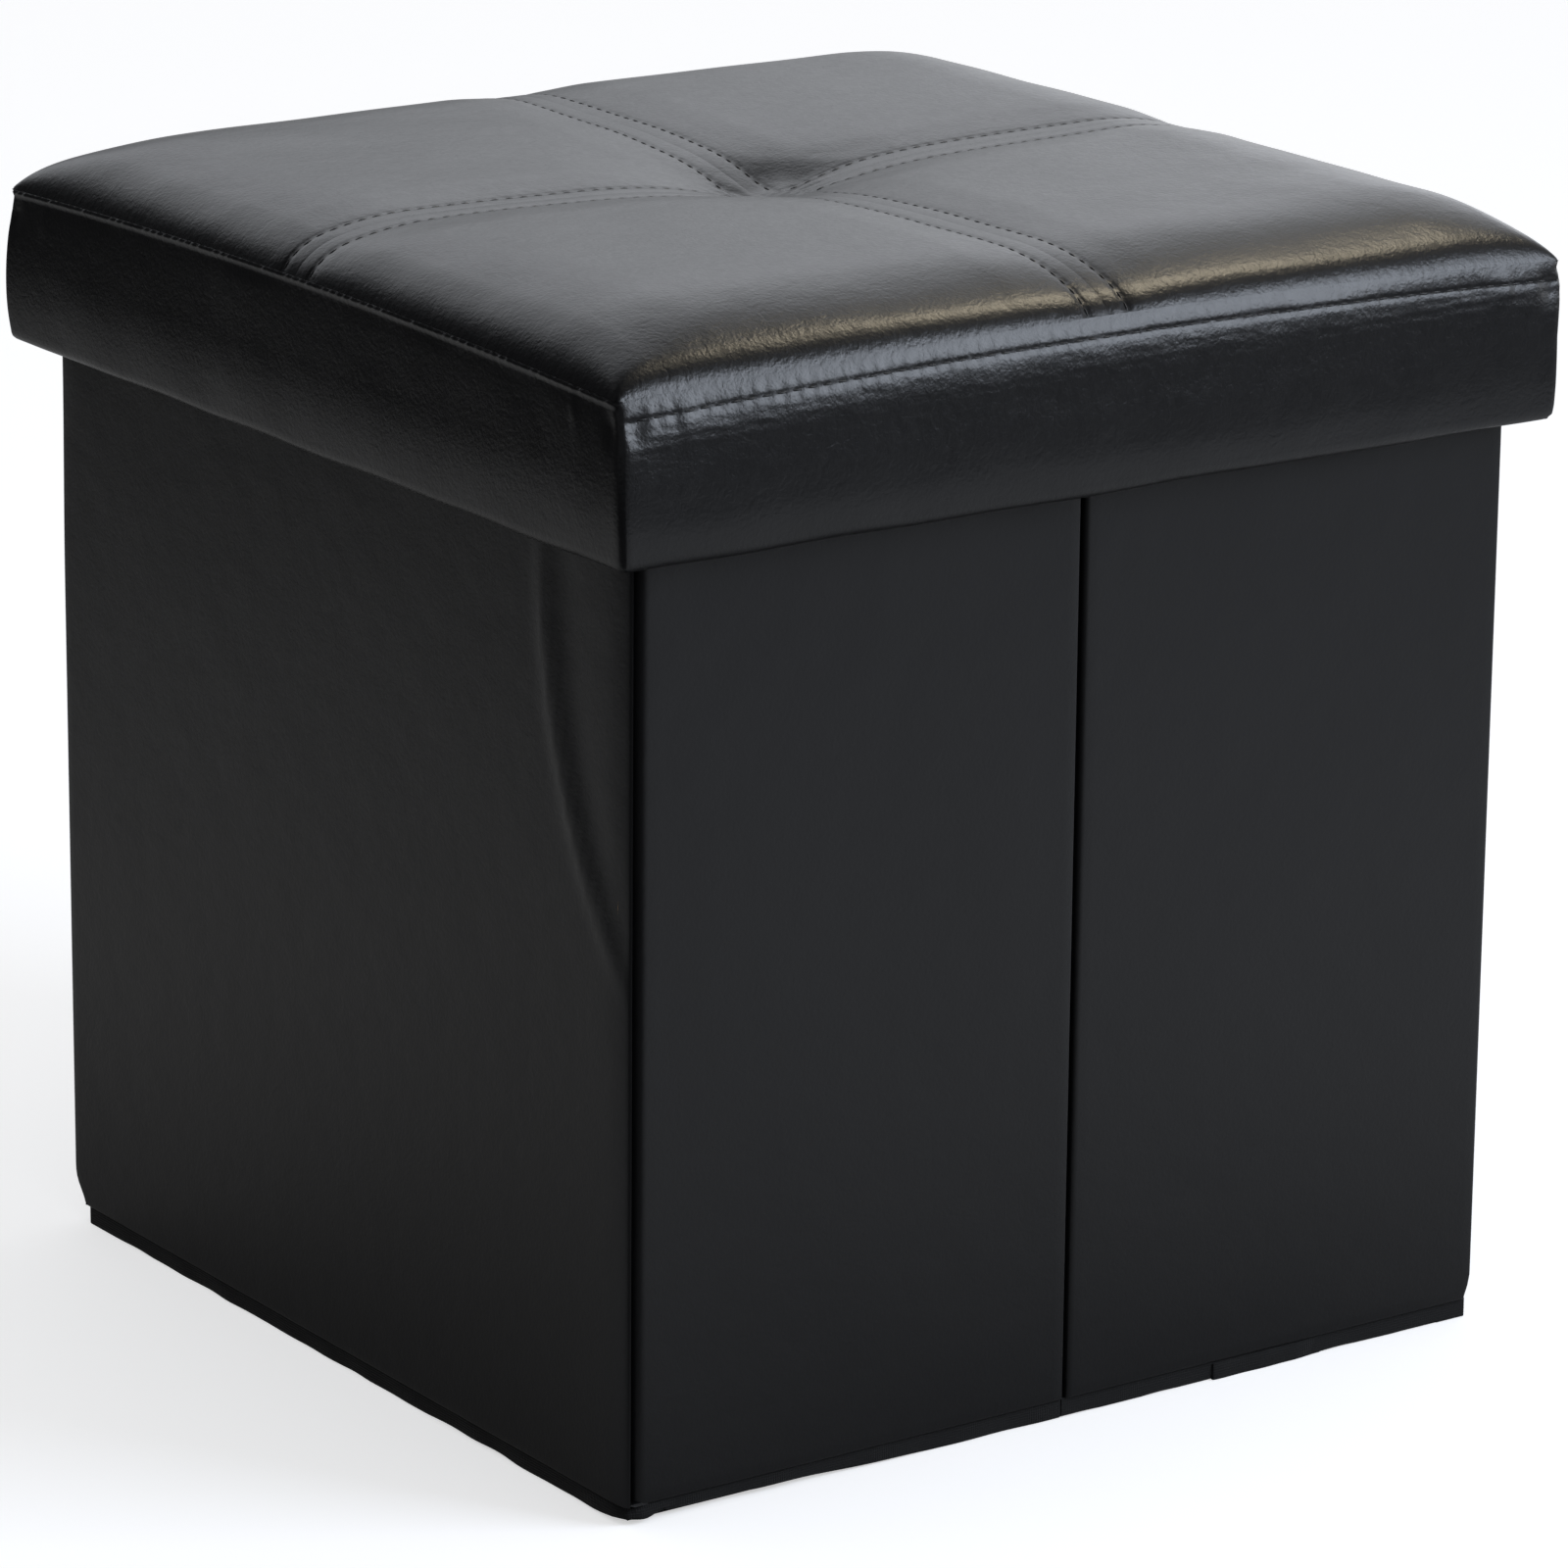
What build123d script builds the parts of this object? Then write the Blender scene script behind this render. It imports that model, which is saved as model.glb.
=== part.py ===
"""Fold-flat storage ottoman: a creased box, a hinged base flap and a lift-off cushioned lid.

Units are millimetres. +Z is up and the origin is the middle of the footprint on the floor.
The creased walls face -Y (front) and +Y (back); the plain side walls face -X and +X.
"""
from build123d import *
from math import atan2, degrees
import os

# ---- driving sizes -------------------------------------------------------------------
# Box walls
box_width = 358.0         # X, over the outsides of the two plain side walls
box_depth = 358.0         # Y, over the outsides of the two creased walls
panel_height = 352.5      # every wall panel, from the hem to its top edge
board_t = 8.4             # fibreboard inside each wall panel
cover_t = 1.0             # backed leatherette over a wall board
lining_t = 0.6            # non-woven lining on a wall panel's inner face
board_fit = 0.1           # slip fit of a board inside its cover
side_edge_r = 4.5         # upright edges of the side walls
half_edge_r = 2.2         # upright edges of the half panels
top_edge_r = 1.8          # top edges of every panel
corner_groove = 3.5       # between a side wall and the end of a half panel
crease_groove = 3.0       # between the two halves of a creased wall
strip_t = 0.6             # leatherette down the grooves
strip_inset = 1.5         # the groove's strip starts this far behind the outer face
soft_gap = 0.3            # running clearance between soft pieces on different bodies

# Hem and floor
hem_height = 7.0          # bound hem that the box stands on
hem_t = 4.0               # through the seam allowances and their tape
hem_inset = 1.5           # the hem lies this far inside the outer face
hem_edge_r = 0.9          # rolled lower edges of the tape
tape_lap = 48.0           # the tape's end laps over its start for this length
tape_ply = 0.8            # thickness that the lap adds
floor_cloth_t = 0.6       # non-woven floor
floor_cloth_rise = 0.2    # the floor cloth hangs this far above the ground

# Base flap
flap_board_t = 3.2        # hardboard
flap_wrap_t = 0.5         # non-woven wrap round it
flap_hinge_gap = 1.5      # from the left wall's inner face to the flap's hinged edge
flap_side_gap = 1.5       # round the flap's other edges
tab_width = 25.0          # pull tab webbing
tab_length = 42.0
tab_t = 0.9
hinge_tape_t = 0.5        # cloth hinge of the flap
hinge_tape_up = 22.0      # its height up the wall
hinge_tape_over = 20.0    # its reach over the flap

# Lid
rest_gap = 0.3            # under the lid lining, above the wall tops
lid_lining_t = 0.5
lid_board_t = 6.0
rail_t = 6.0              # rim rails under the board
rail_height = 33.2
rim_clearance = 4.2       # between the walls and the lid's lined rim
skin_t = 0.8              # leatherette over the lid
lid_edge_r = 3.2          # upright corners and lower edge of the lid
foam_edge = 14.5          # from the board up to the seam round the top
crown_rise = 22.0         # from that seam to the cushion's crown
crown_shoulder = 88.0     # width of the curve between the edge and the crown
crown_edge_r = 12.0       # tighter arc where that curve leaves the edge
foam_fit = 0.3            # between the foam and the leatherette over it
turn_in = 14.0            # band leatherette turned up inside the rim
seam_valley_w = 26.0      # valley along each cross seam
seam_valley_d = 2.0
dimple_w = 92.0           # hollow round the middle tuft
dimple_d = 10.0
staple_crown = 10.0
staple_wire = 0.6
staples_per_rail = 6
tuft_thread_r = 0.9
tuft_hole_r = 1.6
washer_r = 10.0
washer_t = 1.2
washer_fit = 0.3

# ---- sizes that follow ---------------------------------------------------------------
wall_t = cover_t + board_t + lining_t
inner_x = box_width / 2 - wall_t
inner_y = box_depth / 2 - wall_t
half_length = inner_x - corner_groove - crease_groove / 2
wall_top = hem_height + panel_height
hem_inner_x = box_width / 2 - hem_inset - hem_t
hem_inner_y = box_depth / 2 - hem_inset - hem_t

flap_bottom = floor_cloth_rise + floor_cloth_t + soft_gap
flap_t = flap_board_t + 2 * flap_wrap_t
flap_top = flap_bottom + flap_t
flap_left = -inner_x + flap_hinge_gap
flap_right = inner_x - flap_side_gap
flap_half_depth = inner_y - flap_side_gap

rim_inner_x = box_width / 2 + rim_clearance + lid_lining_t
rim_inner_y = box_depth / 2 + rim_clearance + lid_lining_t
lid_width = 2 * (rim_inner_x + rail_t + skin_t)
lid_depth = 2 * (rim_inner_y + rail_t + skin_t)
lining_z = wall_top + rest_gap
lid_board_z = lining_z + lid_lining_t
rail_z = lid_board_z - rail_height
lid_bottom = rail_z - skin_t
foam_z = lid_board_z + lid_board_t
seam_z = foam_z + foam_edge
crown_z = seam_z + crown_rise

# ---- small helpers -------------------------------------------------------------------
def block(x0, x1, y0, y1, z0, z1):
    """Rectangular solid between two corners."""
    return Pos((x0 + x1) / 2, (y0 + y1) / 2, (z0 + z1) / 2) * Box(x1 - x0, y1 - y0, z1 - z0)


def save(solid, node):
    """Write one named piece."""
    export_step(solid, os.path.join("parts", node + ".step"))


def round_outer(solid, upright_r, top_r):
    """Round a panel's two outer upright edges, then its top edge along the outer face."""
    solid = fillet(solid.edges().filter_by(Axis.Z).sort_by(Axis.Y)[:2], upright_r)
    rim = solid.edges().group_by(Axis.Z)[-1].sort_by(Axis.Y)[:-1]
    return fillet(rim, top_r)


# ---- wall panels: local x along the panel, y = 0 on its outer face, z = 0 on its hem ----
def panel_cover(length, edge_r):
    """Leatherette tray over the outer face and all four edges of a board."""
    depth = cover_t + board_t
    shell = round_outer(block(0, length, 0, depth, 0, panel_height), edge_r, top_edge_r)
    hollow = block(cover_t, length - cover_t, cover_t, 2 * depth, cover_t, panel_height - cover_t)
    uprights = hollow.edges().filter_by(Axis.Z).sort_by(Axis.Y)[:2]
    return shell - fillet(uprights, edge_r - cover_t)


def panel_board(length, edge_r):
    """Fibreboard that fills the cover's tray."""
    side = cover_t + board_fit
    board = block(side, length - side, cover_t, cover_t + board_t, side, panel_height - side)
    return fillet(board.edges().filter_by(Axis.Z).sort_by(Axis.Y)[:2], edge_r - cover_t)


def panel_lining(length):
    """Non-woven sheet that closes the tray on the inside."""
    return block(cover_t, length - cover_t, wall_t - lining_t, wall_t, cover_t, panel_height - cover_t)


def panel_hem(length, lap=0.0):
    """Bound seam allowance along the bottom; a lap doubles the tape at the far end."""
    tape = block(hem_inset, length - hem_inset, hem_inset, hem_inset + hem_t, -hem_height, 0)
    tape = fillet(tape.edges().filter_by(Axis.X).group_by(Axis.Z)[0], hem_edge_r)
    if lap:
        end = length - hem_inset
        tape += block(end - lap, end, hem_inset - tape_ply, hem_inset + hem_edge_r,
                      hem_edge_r - hem_height, -tape_ply)
    return tape


def groove_strip(width):
    """U-shaped leatherette that lines an upright groove, open to the outside."""
    depth = wall_t - strip_inset
    outer = block(0, width, strip_inset, strip_inset + depth, 0, panel_height - strip_inset)
    inner = block(strip_t, width - strip_t, 0, wall_t - strip_t, -1, panel_height)
    return outer - inner


front_y = -box_depth / 2
left_x = -box_width / 2
place_left = Pos(left_x, -front_y, hem_height) * Rot(0, 0, -90)
place_right = Pos(-left_x, front_y, hem_height) * Rot(0, 0, 90)
left_half_x = -inner_x + corner_groove
right_half_x = crease_groove / 2
panels = {
    "left": (place_left, box_depth, side_edge_r, 0),
    "right": (place_right, box_depth, side_edge_r, 0),
    "front_left": (Pos(left_half_x, front_y, hem_height), half_length, half_edge_r, 0),
    "front_right": (Pos(right_half_x, front_y, hem_height), half_length, half_edge_r, tape_lap),
    "back_left": (Pos(-right_half_x, -front_y, hem_height) * Rot(0, 0, 180), half_length, half_edge_r, 0),
    "back_right": (Pos(-left_half_x, -front_y, hem_height) * Rot(0, 0, 180), half_length, half_edge_r, 0),
}


def build_walls():
    """Six wall panels, each a board in a cover with a lining and a hem."""
    for name, (place, length, edge_r, lap) in panels.items():
        save(place * panel_board(length, edge_r), name + "_board")
        save(place * panel_cover(length, edge_r), name + "_cover")
        save(place * panel_lining(length), name + "_lining")
        save(place * panel_hem(length, lap), name + "_hem")


def build_grooves():
    """Strips down the four corner grooves and the two creases."""
    corner = groove_strip(corner_groove - soft_gap)
    crease = groove_strip(crease_groove - soft_gap)
    turn = Rot(0, 0, 180)
    near_side = -inner_x
    far_side = inner_x - corner_groove + soft_gap
    save(Pos(near_side, front_y, hem_height) * corner, "front_left_gusset")
    save(Pos(far_side, front_y, hem_height) * corner, "front_right_gusset")
    save(Pos(-far_side, -front_y, hem_height) * turn * corner, "back_left_gusset")
    save(Pos(-near_side, -front_y, hem_height) * turn * corner, "back_right_gusset")
    save(Pos(-crease_groove / 2, front_y, hem_height) * crease, "front_crease_strip")
    back_crease_x = crease_groove / 2 - soft_gap
    save(Pos(back_crease_x, -front_y, hem_height) * turn * crease, "back_crease_strip")


# ---- floor and base flap -------------------------------------------------------------
def build_base():
    """Cloth floor, the wrapped hardboard flap, its pull tab and its cloth hinge."""
    cloth_y = hem_inner_y - soft_gap
    cloth = block(-hem_inner_x, hem_inner_x - soft_gap, -cloth_y, cloth_y,
                  floor_cloth_rise, floor_cloth_rise + floor_cloth_t)
    save(cloth, "floor_cloth")

    board = block(flap_left, flap_right - flap_wrap_t,
                  -flap_half_depth + flap_wrap_t, flap_half_depth - flap_wrap_t,
                  flap_bottom + flap_wrap_t, flap_top - flap_wrap_t)
    save(board, "base_board")
    wrap = block(flap_left, flap_right, -flap_half_depth, flap_half_depth, flap_bottom, flap_top)
    wrap = fillet(wrap.edges().filter_by(Axis.Y).sort_by(Axis.X)[-2:], flap_wrap_t)
    save(wrap - board, "base_wrap")

    tab_x = flap_right - flap_wrap_t
    tab = block(tab_x - tab_length, tab_x, -tab_width / 2, tab_width / 2, flap_top, flap_top + tab_t)
    grip = tab.edges().filter_by(Axis.Z).sort_by(Axis.X)[:2]
    save(fillet(grip, tab_width / 4), "pull_tab")

    tape_z = flap_top + soft_gap
    half_tape = flap_half_depth - flap_side_gap
    upright = block(-inner_x, -inner_x + hinge_tape_t, -half_tape, half_tape,
                    tape_z, hem_height + hinge_tape_up)
    over = block(-inner_x, flap_left + hinge_tape_over, -half_tape, half_tape,
                 tape_z, tape_z + hinge_tape_t)
    save(upright + over, "base_hinge_tape")


# ---- lid -----------------------------------------------------------------------------
def crowned(width, depth, bottom, edge, top, shoulder, edge_r):
    """Block whose top swells from its four edges: a tight arc, then a wide one up to a flat crown."""
    rise = top - edge
    wide_r = (shoulder ** 2 - 2 * shoulder * edge_r + rise ** 2) / (2 * (rise - edge_r))
    turn = degrees(atan2(wide_r - rise, shoulder - edge_r))

    def bar(span, length):
        a = span / 2
        tight = JernArc((-a, edge), (0, 1), edge_r, -turn)
        wide = JernArc(tight @ 1, tight % 1, wide_r, turn - 90)
        half = [Line((0, bottom), (-a, bottom)), Line((-a, bottom), (-a, edge)), tight, wide]
        half += [Line(wide @ 1, (0, top)), Line((0, top), (0, bottom))]
        side = extrude(Plane.XZ * make_face(half), length, both=True)
        return side + Rot(0, 0, 180) * side
    return bar(width, depth) & Rot(0, 0, 90) * bar(depth, width)


def arc_radius(chord, rise):
    """Radius of the arc with this chord and rise."""
    return (chord ** 2 / 4 + rise ** 2) / (2 * rise)


def cushion(inset):
    """The cushion's form from the board up, shrunk by inset: crown, seam valleys and tuft."""
    half_x, half_y = lid_width / 2 - inset, lid_depth / 2 - inset
    shape = crowned(2 * half_x, 2 * half_y, foam_z, seam_z,
                    crown_z - inset, crown_shoulder - inset, crown_edge_r - inset)
    limits = block(-half_x, half_x, -half_y, half_y, foam_z, crown_z)
    shape &= fillet(limits.edges().filter_by(Axis.Z), lid_edge_r - inset)
    valley_r = arc_radius(seam_valley_w, seam_valley_d)
    valley = Pos(0, 0, crown_z - seam_valley_d + valley_r) * Rot(0, 90, 0)
    valley *= Cylinder(valley_r + inset, 2 * lid_width)
    dimple_r = arc_radius(dimple_w, dimple_d)
    dimple = Pos(0, 0, crown_z - dimple_d + dimple_r) * Rot(90, 0, 0) * Sphere(dimple_r + inset)
    return shape - valley - Rot(0, 0, 90) * valley - dimple


def build_cushion():
    """Foam and the four quarter covers sewn over it."""
    foam = cushion(skin_t + foam_fit)
    foam -= Pos(0, 0, foam_z) * Cylinder(tuft_hole_r, 4 * foam_edge)
    save(foam, "lid_foam")

    skin = cushion(0) - cushion(skin_t)
    reach_x, reach_y = lid_width, lid_depth
    quarters = {
        "top_cover_front_left": (-reach_x, 0, -reach_y, 0),
        "top_cover_front_right": (0, reach_x, -reach_y, 0),
        "top_cover_back_left": (-reach_x, 0, 0, reach_y),
        "top_cover_back_right": (0, reach_x, 0, reach_y),
    }
    for node, (x0, x1, y0, y1) in quarters.items():
        save(skin & block(x0, x1, y0, y1, seam_z, crown_z), node)


def rim_ring(outer_x, outer_y, inner_x, inner_y, z0, z1, edge_r):
    """Square ring with its outer corners and lower outer edge rounded."""
    ring = block(-outer_x, outer_x, -outer_y, outer_y, z0, z1)
    ring = fillet(ring.edges().filter_by(Axis.Z), edge_r)
    ring = fillet(ring.edges().group_by(Axis.Z)[0], edge_r)
    return ring - block(-inner_x, inner_x, -inner_y, inner_y, z0, z1)


def mitre(length, depth, angle):
    """Strip along the lid's side of this length, cut at 45 degrees at both corners."""
    reach = rail_t + 4 * skin_t
    strip = make_face(Polyline(
        (-length / 2, -depth / 2), (length / 2, -depth / 2),
        (length / 2 - reach, reach - depth / 2), (reach - length / 2, reach - depth / 2), close=True))
    return Rot(0, 0, angle) * extrude(Pos(0, 0, lid_bottom) * strip, seam_z - lid_bottom)


def build_rim():
    """Rails, mitred leatherette bands, lining and staples round the lid's rim."""
    rail_x, rail_y = rim_inner_x + rail_t, rim_inner_y + rail_t
    rails = rim_ring(rail_x, rail_y, rim_inner_x, rim_inner_y, rail_z, lid_board_z, lid_edge_r - skin_t)
    save(rails & block(-rail_x, rail_x, -rail_y, -rim_inner_y, rail_z, lid_board_z), "lid_rail_front")
    save(rails & block(-rail_x, rail_x, rim_inner_y, rail_y, rail_z, lid_board_z), "lid_rail_back")
    side_y = rim_inner_y
    save(rails & block(-rail_x, -rim_inner_x, -side_y, side_y, rail_z, lid_board_z), "lid_rail_left")
    save(rails & block(rim_inner_x, rail_x, -side_y, side_y, rail_z, lid_board_z), "lid_rail_right")

    lip_x, lip_y = rim_inner_x - skin_t, rim_inner_y - skin_t
    band = rim_ring(lid_width / 2, lid_depth / 2, lip_x, lip_y, lid_bottom, seam_z, lid_edge_r)
    core = rim_ring(rail_x, rail_y, rim_inner_x, rim_inner_y, rail_z, seam_z, lid_edge_r - skin_t)
    above = block(-rim_inner_x, rim_inner_x, -rim_inner_y, rim_inner_y, rail_z + turn_in, seam_z)
    band = band - core - above
    for node, angle in (("band_front", 0), ("band_back", 180)):
        save(band & mitre(lid_width, lid_depth, angle), node)
    for node, angle in (("band_right", 90), ("band_left", 270)):
        save(band & mitre(lid_depth, lid_width, angle), node)

    lining = block(-rim_inner_x, rim_inner_x, -rim_inner_y, rim_inner_y, rail_z + turn_in, lid_board_z)
    hollow_x, hollow_y = rim_inner_x - lid_lining_t, rim_inner_y - lid_lining_t
    save(lining - block(-hollow_x, hollow_x, -hollow_y, hollow_y, rail_z, lining_z), "lid_lining")

    staple_z = rail_z + turn_in / 2
    crown = Box(staple_crown, staple_wire, staple_wire)
    row = []
    for side, (reach, across) in enumerate(((lip_y, lip_x), (lip_x, lip_y)) * 2):
        pitch = 2 * across / staples_per_rail
        for i in range(staples_per_rail):
            along = -across + pitch * (i + 0.5)
            row.append(Rot(0, 0, 90 * side) * Pos(along, staple_wire / 2 - reach, staple_z) * crown)
    save(Compound(children=row), "rim_staples")


def build_lid_board():
    """Board over the rails, with the tuft's thread and the washer that anchors it."""
    half_x, half_y = lid_width / 2 - skin_t, lid_depth / 2 - skin_t
    board = block(-half_x, half_x, -half_y, half_y, lid_board_z, foam_z)
    board = fillet(board.edges().filter_by(Axis.Z), lid_edge_r - skin_t)
    seat_t = washer_t + washer_fit
    seat = Pos(0, 0, lid_board_z + seat_t / 2) * Cylinder(washer_r + washer_fit, seat_t)
    save(board - seat - Pos(0, 0, foam_z) * Cylinder(tuft_hole_r, 4 * lid_board_t), "lid_board")

    washer_z = lid_board_z + washer_fit
    washer = Cylinder(washer_r, washer_t) - Cylinder(tuft_thread_r + washer_fit / 2, washer_t)
    save(Pos(0, 0, washer_z + washer_t / 2) * washer, "tuft_washer")
    thread_top = crown_z - dimple_d - skin_t
    thread = Cylinder(tuft_thread_r, thread_top - lid_board_z)
    save(Pos(0, 0, (thread_top + lid_board_z) / 2) * thread, "tuft_thread")


os.makedirs("parts", exist_ok=True)
build_walls()
build_grooves()
build_base()
build_cushion()
build_rim()
build_lid_board()
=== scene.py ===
"""Fold-flat storage ottoman, dressed round its packed frame.

Black polyurethane leatherette over fibreboard panels, a tufted foam lid with topstitched bands,
a bound hem, a non-woven lining and a plain pale studio. Lengths are metres, +Z is up, and every
place comes from the frame's boxes.
"""
import math

import bmesh
import bpy
import numpy as np
from bpy.props import FloatProperty, FloatVectorProperty
from mathutils import Matrix, Vector


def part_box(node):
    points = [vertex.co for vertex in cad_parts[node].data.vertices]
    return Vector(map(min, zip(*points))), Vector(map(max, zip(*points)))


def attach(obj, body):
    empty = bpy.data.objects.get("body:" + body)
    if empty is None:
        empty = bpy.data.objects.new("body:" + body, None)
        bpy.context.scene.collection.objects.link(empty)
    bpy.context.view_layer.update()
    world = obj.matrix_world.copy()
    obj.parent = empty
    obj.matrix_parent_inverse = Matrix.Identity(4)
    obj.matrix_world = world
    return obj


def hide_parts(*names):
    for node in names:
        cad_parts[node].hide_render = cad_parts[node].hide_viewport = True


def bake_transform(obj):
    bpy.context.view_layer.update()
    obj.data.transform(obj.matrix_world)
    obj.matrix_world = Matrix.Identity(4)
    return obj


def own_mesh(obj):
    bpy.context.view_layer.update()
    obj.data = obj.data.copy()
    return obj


bl_info = {
    "name": "Storage Ottoman",
    "version": (1, 0, 0),
    "blender": (4, 5, 0),
    "location": "View3D > Sidebar > Ottoman",
    "description": "Upholsters a fold-flat storage ottoman and lights it in a pale studio",
    "category": "Object",
}

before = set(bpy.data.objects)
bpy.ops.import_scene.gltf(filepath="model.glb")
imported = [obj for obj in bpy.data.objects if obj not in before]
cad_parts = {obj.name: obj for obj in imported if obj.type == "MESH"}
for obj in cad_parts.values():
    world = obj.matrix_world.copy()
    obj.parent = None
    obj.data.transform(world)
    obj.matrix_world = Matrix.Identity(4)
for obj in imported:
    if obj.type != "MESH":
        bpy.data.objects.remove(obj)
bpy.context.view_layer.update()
MM = 0.001

# Places that the frame gives
LID_HALF = -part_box("band_front")[0].y
SEAM_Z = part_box("band_front")[1].z
LID_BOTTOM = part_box("band_front")[0].z
CROWN_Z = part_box("top_cover_front_left")[1].z
BOARD_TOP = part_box("lid_board")[1].z
LIP_REACH = -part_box("band_front")[1].y
BOX_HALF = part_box("left_cover")[1].y
HEM_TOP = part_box("left_cover")[0].z
# The side walls' boards and linings reach this far, up to the corner grooves
GROOVE_SIDE = BOX_HALF - 5.4 * MM
# The hem lies a little behind the covers
HEM_HALF = BOX_HALF - 1.5 * MM
# The front and back covers' ends beside the side walls
GROOVE_END = BOX_HALF - 13.5 * MM

WALL_BODIES = {
    "left": "side_wall_left",
    "right": "side_wall_right",
    "front_left": "front_left_half",
    "front_right": "front_right_half",
    "back_left": "back_left_half",
    "back_right": "back_right_half",
}
# The way each wall faces
OUTWARD = {
    "left": Vector((-1, 0, 0)),
    "right": Vector((1, 0, 0)),
    "front_left": Vector((0, -1, 0)),
    "front_right": Vector((0, -1, 0)),
    "back_left": Vector((0, 1, 0)),
    "back_right": Vector((0, 1, 0)),
}


# ---- small helpers -------------------------------------------------------------------
def linear(code):
    """An sRGB hex colour as linear red, green, blue and alpha."""
    channels = [int(code[i:i + 2], 16) / 255 for i in (1, 3, 5)]
    bright = [c / 12.92 if c <= 0.04045 else ((c + 0.055) / 1.055) ** 2.4 for c in channels]
    return (*bright, 1.0)


def deselect_all():
    """Leave object mode with nothing selected."""
    if bpy.context.object and bpy.context.object.mode != "OBJECT":
        bpy.ops.object.mode_set(mode="OBJECT")
    bpy.ops.object.select_all(action="DESELECT")


def pick(piece):
    """Select one piece alone and make it the active one."""
    deselect_all()
    piece.select_set(True)
    bpy.context.view_layer.objects.active = piece


def take_new(name):
    """Name the primitive that was just added and bring its place into its mesh."""
    piece = bpy.context.object
    piece.name = piece.data.name = name
    bpy.ops.object.transform_apply(location=True, rotation=True, scale=True)
    return piece


def add_block(name, low, high):
    """A box between two corners, to be shaped further."""
    deselect_all()
    low, high = Vector(low), Vector(high)
    bpy.ops.mesh.primitive_cube_add(size=1, location=(low + high) / 2, scale=high - low)
    return take_new(name)


def add_grid(name, across, along):
    """A grid of that many faces from -1 to 1 each way, to be placed by code."""
    deselect_all()
    bpy.ops.mesh.primitive_grid_add(x_subdivisions=across, y_subdivisions=along, size=2)
    return take_new(name)


def points_of(piece):
    """The piece's points as an array."""
    points = np.zeros(len(piece.data.vertices) * 3)
    piece.data.vertices.foreach_get("co", points)
    return points.reshape(-1, 3)


def set_points(piece, points):
    """Put the piece's points at these places."""
    piece.data.vertices.foreach_set("co", np.asarray(points, np.float32).ravel())
    piece.data.update()


def grid_places(piece, table):
    """Where each point of a fresh grid stands in its table, indexed [across, along]."""
    last = np.array(table.shape[:2]) - 1
    marks = np.rint((points_of(piece)[:, :2] + 1) / 2 * last).astype(int)
    return marks[:, 0], marks[:, 1]


def add_sheet(name, table, thickness=0):
    """A grid with its places from a table of points, thickened away from its normals."""
    piece = add_grid(name, table.shape[0] - 1, table.shape[1] - 1)
    set_points(piece, table[grid_places(piece, table)])
    if thickness:
        thicken(piece, thickness)
    return piece


def edit_select(piece, kind, wanted):
    """Enter edit mode with only the faces or edges selected that pass a test."""
    pick(piece)
    bpy.ops.object.mode_set(mode="EDIT")
    bpy.ops.mesh.select_mode(type="FACE" if kind == "faces" else "EDGE")
    bpy.ops.mesh.select_all(action="DESELECT")
    shape = bmesh.from_edit_mesh(piece.data)
    shape.normal_update()
    for part in getattr(shape, kind):
        if wanted(part):
            part.select_set(True)
    bmesh.update_edit_mesh(piece.data)


def leave_edit():
    """Back to object mode."""
    bpy.ops.object.mode_set(mode="OBJECT")


def along_axis(edge):
    """The axis, 0 to 2, that an edge runs along, or None if it is slanted."""
    run = edge.verts[1].co - edge.verts[0].co
    for axis in range(3):
        if abs(run[axis]) > 0.999 * run.length:
            return axis
    return None


def mid(edge):
    """Middle of an edge."""
    return (edge.verts[0].co + edge.verts[1].co) / 2


def cut_long_edges(piece, axis, longest, cuts):
    """Cut the edges along one axis that are longer than a limit into shorter ones."""
    edit_select(piece, "edges", lambda e: along_axis(e) == axis and e.calc_length() > longest)
    bpy.ops.mesh.subdivide(number_cuts=cuts)
    leave_edit()


def round_edges(piece, wanted, width, segments):
    """Bevel the edges that pass a test."""
    edit_select(piece, "edges", wanted)
    bpy.ops.mesh.bevel(offset=width, segments=segments, affect="EDGES")
    leave_edit()


def thicken(piece, thickness):
    """Give a surface its thickness on the side away from its normals."""
    pick(piece)
    bpy.ops.object.modifier_add(type="SOLIDIFY")
    shell = piece.modifiers[-1]
    shell.thickness, shell.offset, shell.use_even_offset = thickness, -1, False
    bpy.ops.object.modifier_apply(modifier=shell.name)


def smooth(piece, degrees=40):
    """Smooth shading that keeps edges sharper than an angle."""
    pick(piece)
    bpy.ops.object.shade_smooth_by_angle(angle=math.radians(degrees))


def ripple(x, y, wavelength, seed):
    """Uneven smooth height of about -1 to 1 over a surface, from crossing waves."""
    draws = np.random.default_rng(seed)
    waves = 7
    height = np.zeros(np.broadcast(x, y).shape)
    for _ in range(waves):
        heading, phase = draws.uniform(0, 2 * math.pi, 2)
        number = 2 * math.pi / (wavelength * draws.uniform(0.7, 1.7))
        height += np.sin(number * (x * math.cos(heading) + y * math.sin(heading)) + phase)
    return height / math.sqrt(2 * waves)


def ridge(distance, width):
    """Bell-shaped ridge of height 1, by distance from its middle."""
    return np.exp(-(distance / width) ** 2)


def ramp(value, low, high):
    """0 below low, 1 above high, and smooth between."""
    part = np.clip((value - low) / (high - low), 0, 1)
    return part * part * (3 - 2 * part)


def turned(points, quarter_turns):
    """Points turned about the upright axis by quarter turns."""
    angle = quarter_turns * math.pi / 2
    c, s = round(math.cos(angle)), round(math.sin(angle))
    x, y, z = points[..., 0], points[..., 1], points[..., 2]
    return np.stack([c * x - s * y, s * x + c * y, z], axis=-1)


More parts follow.
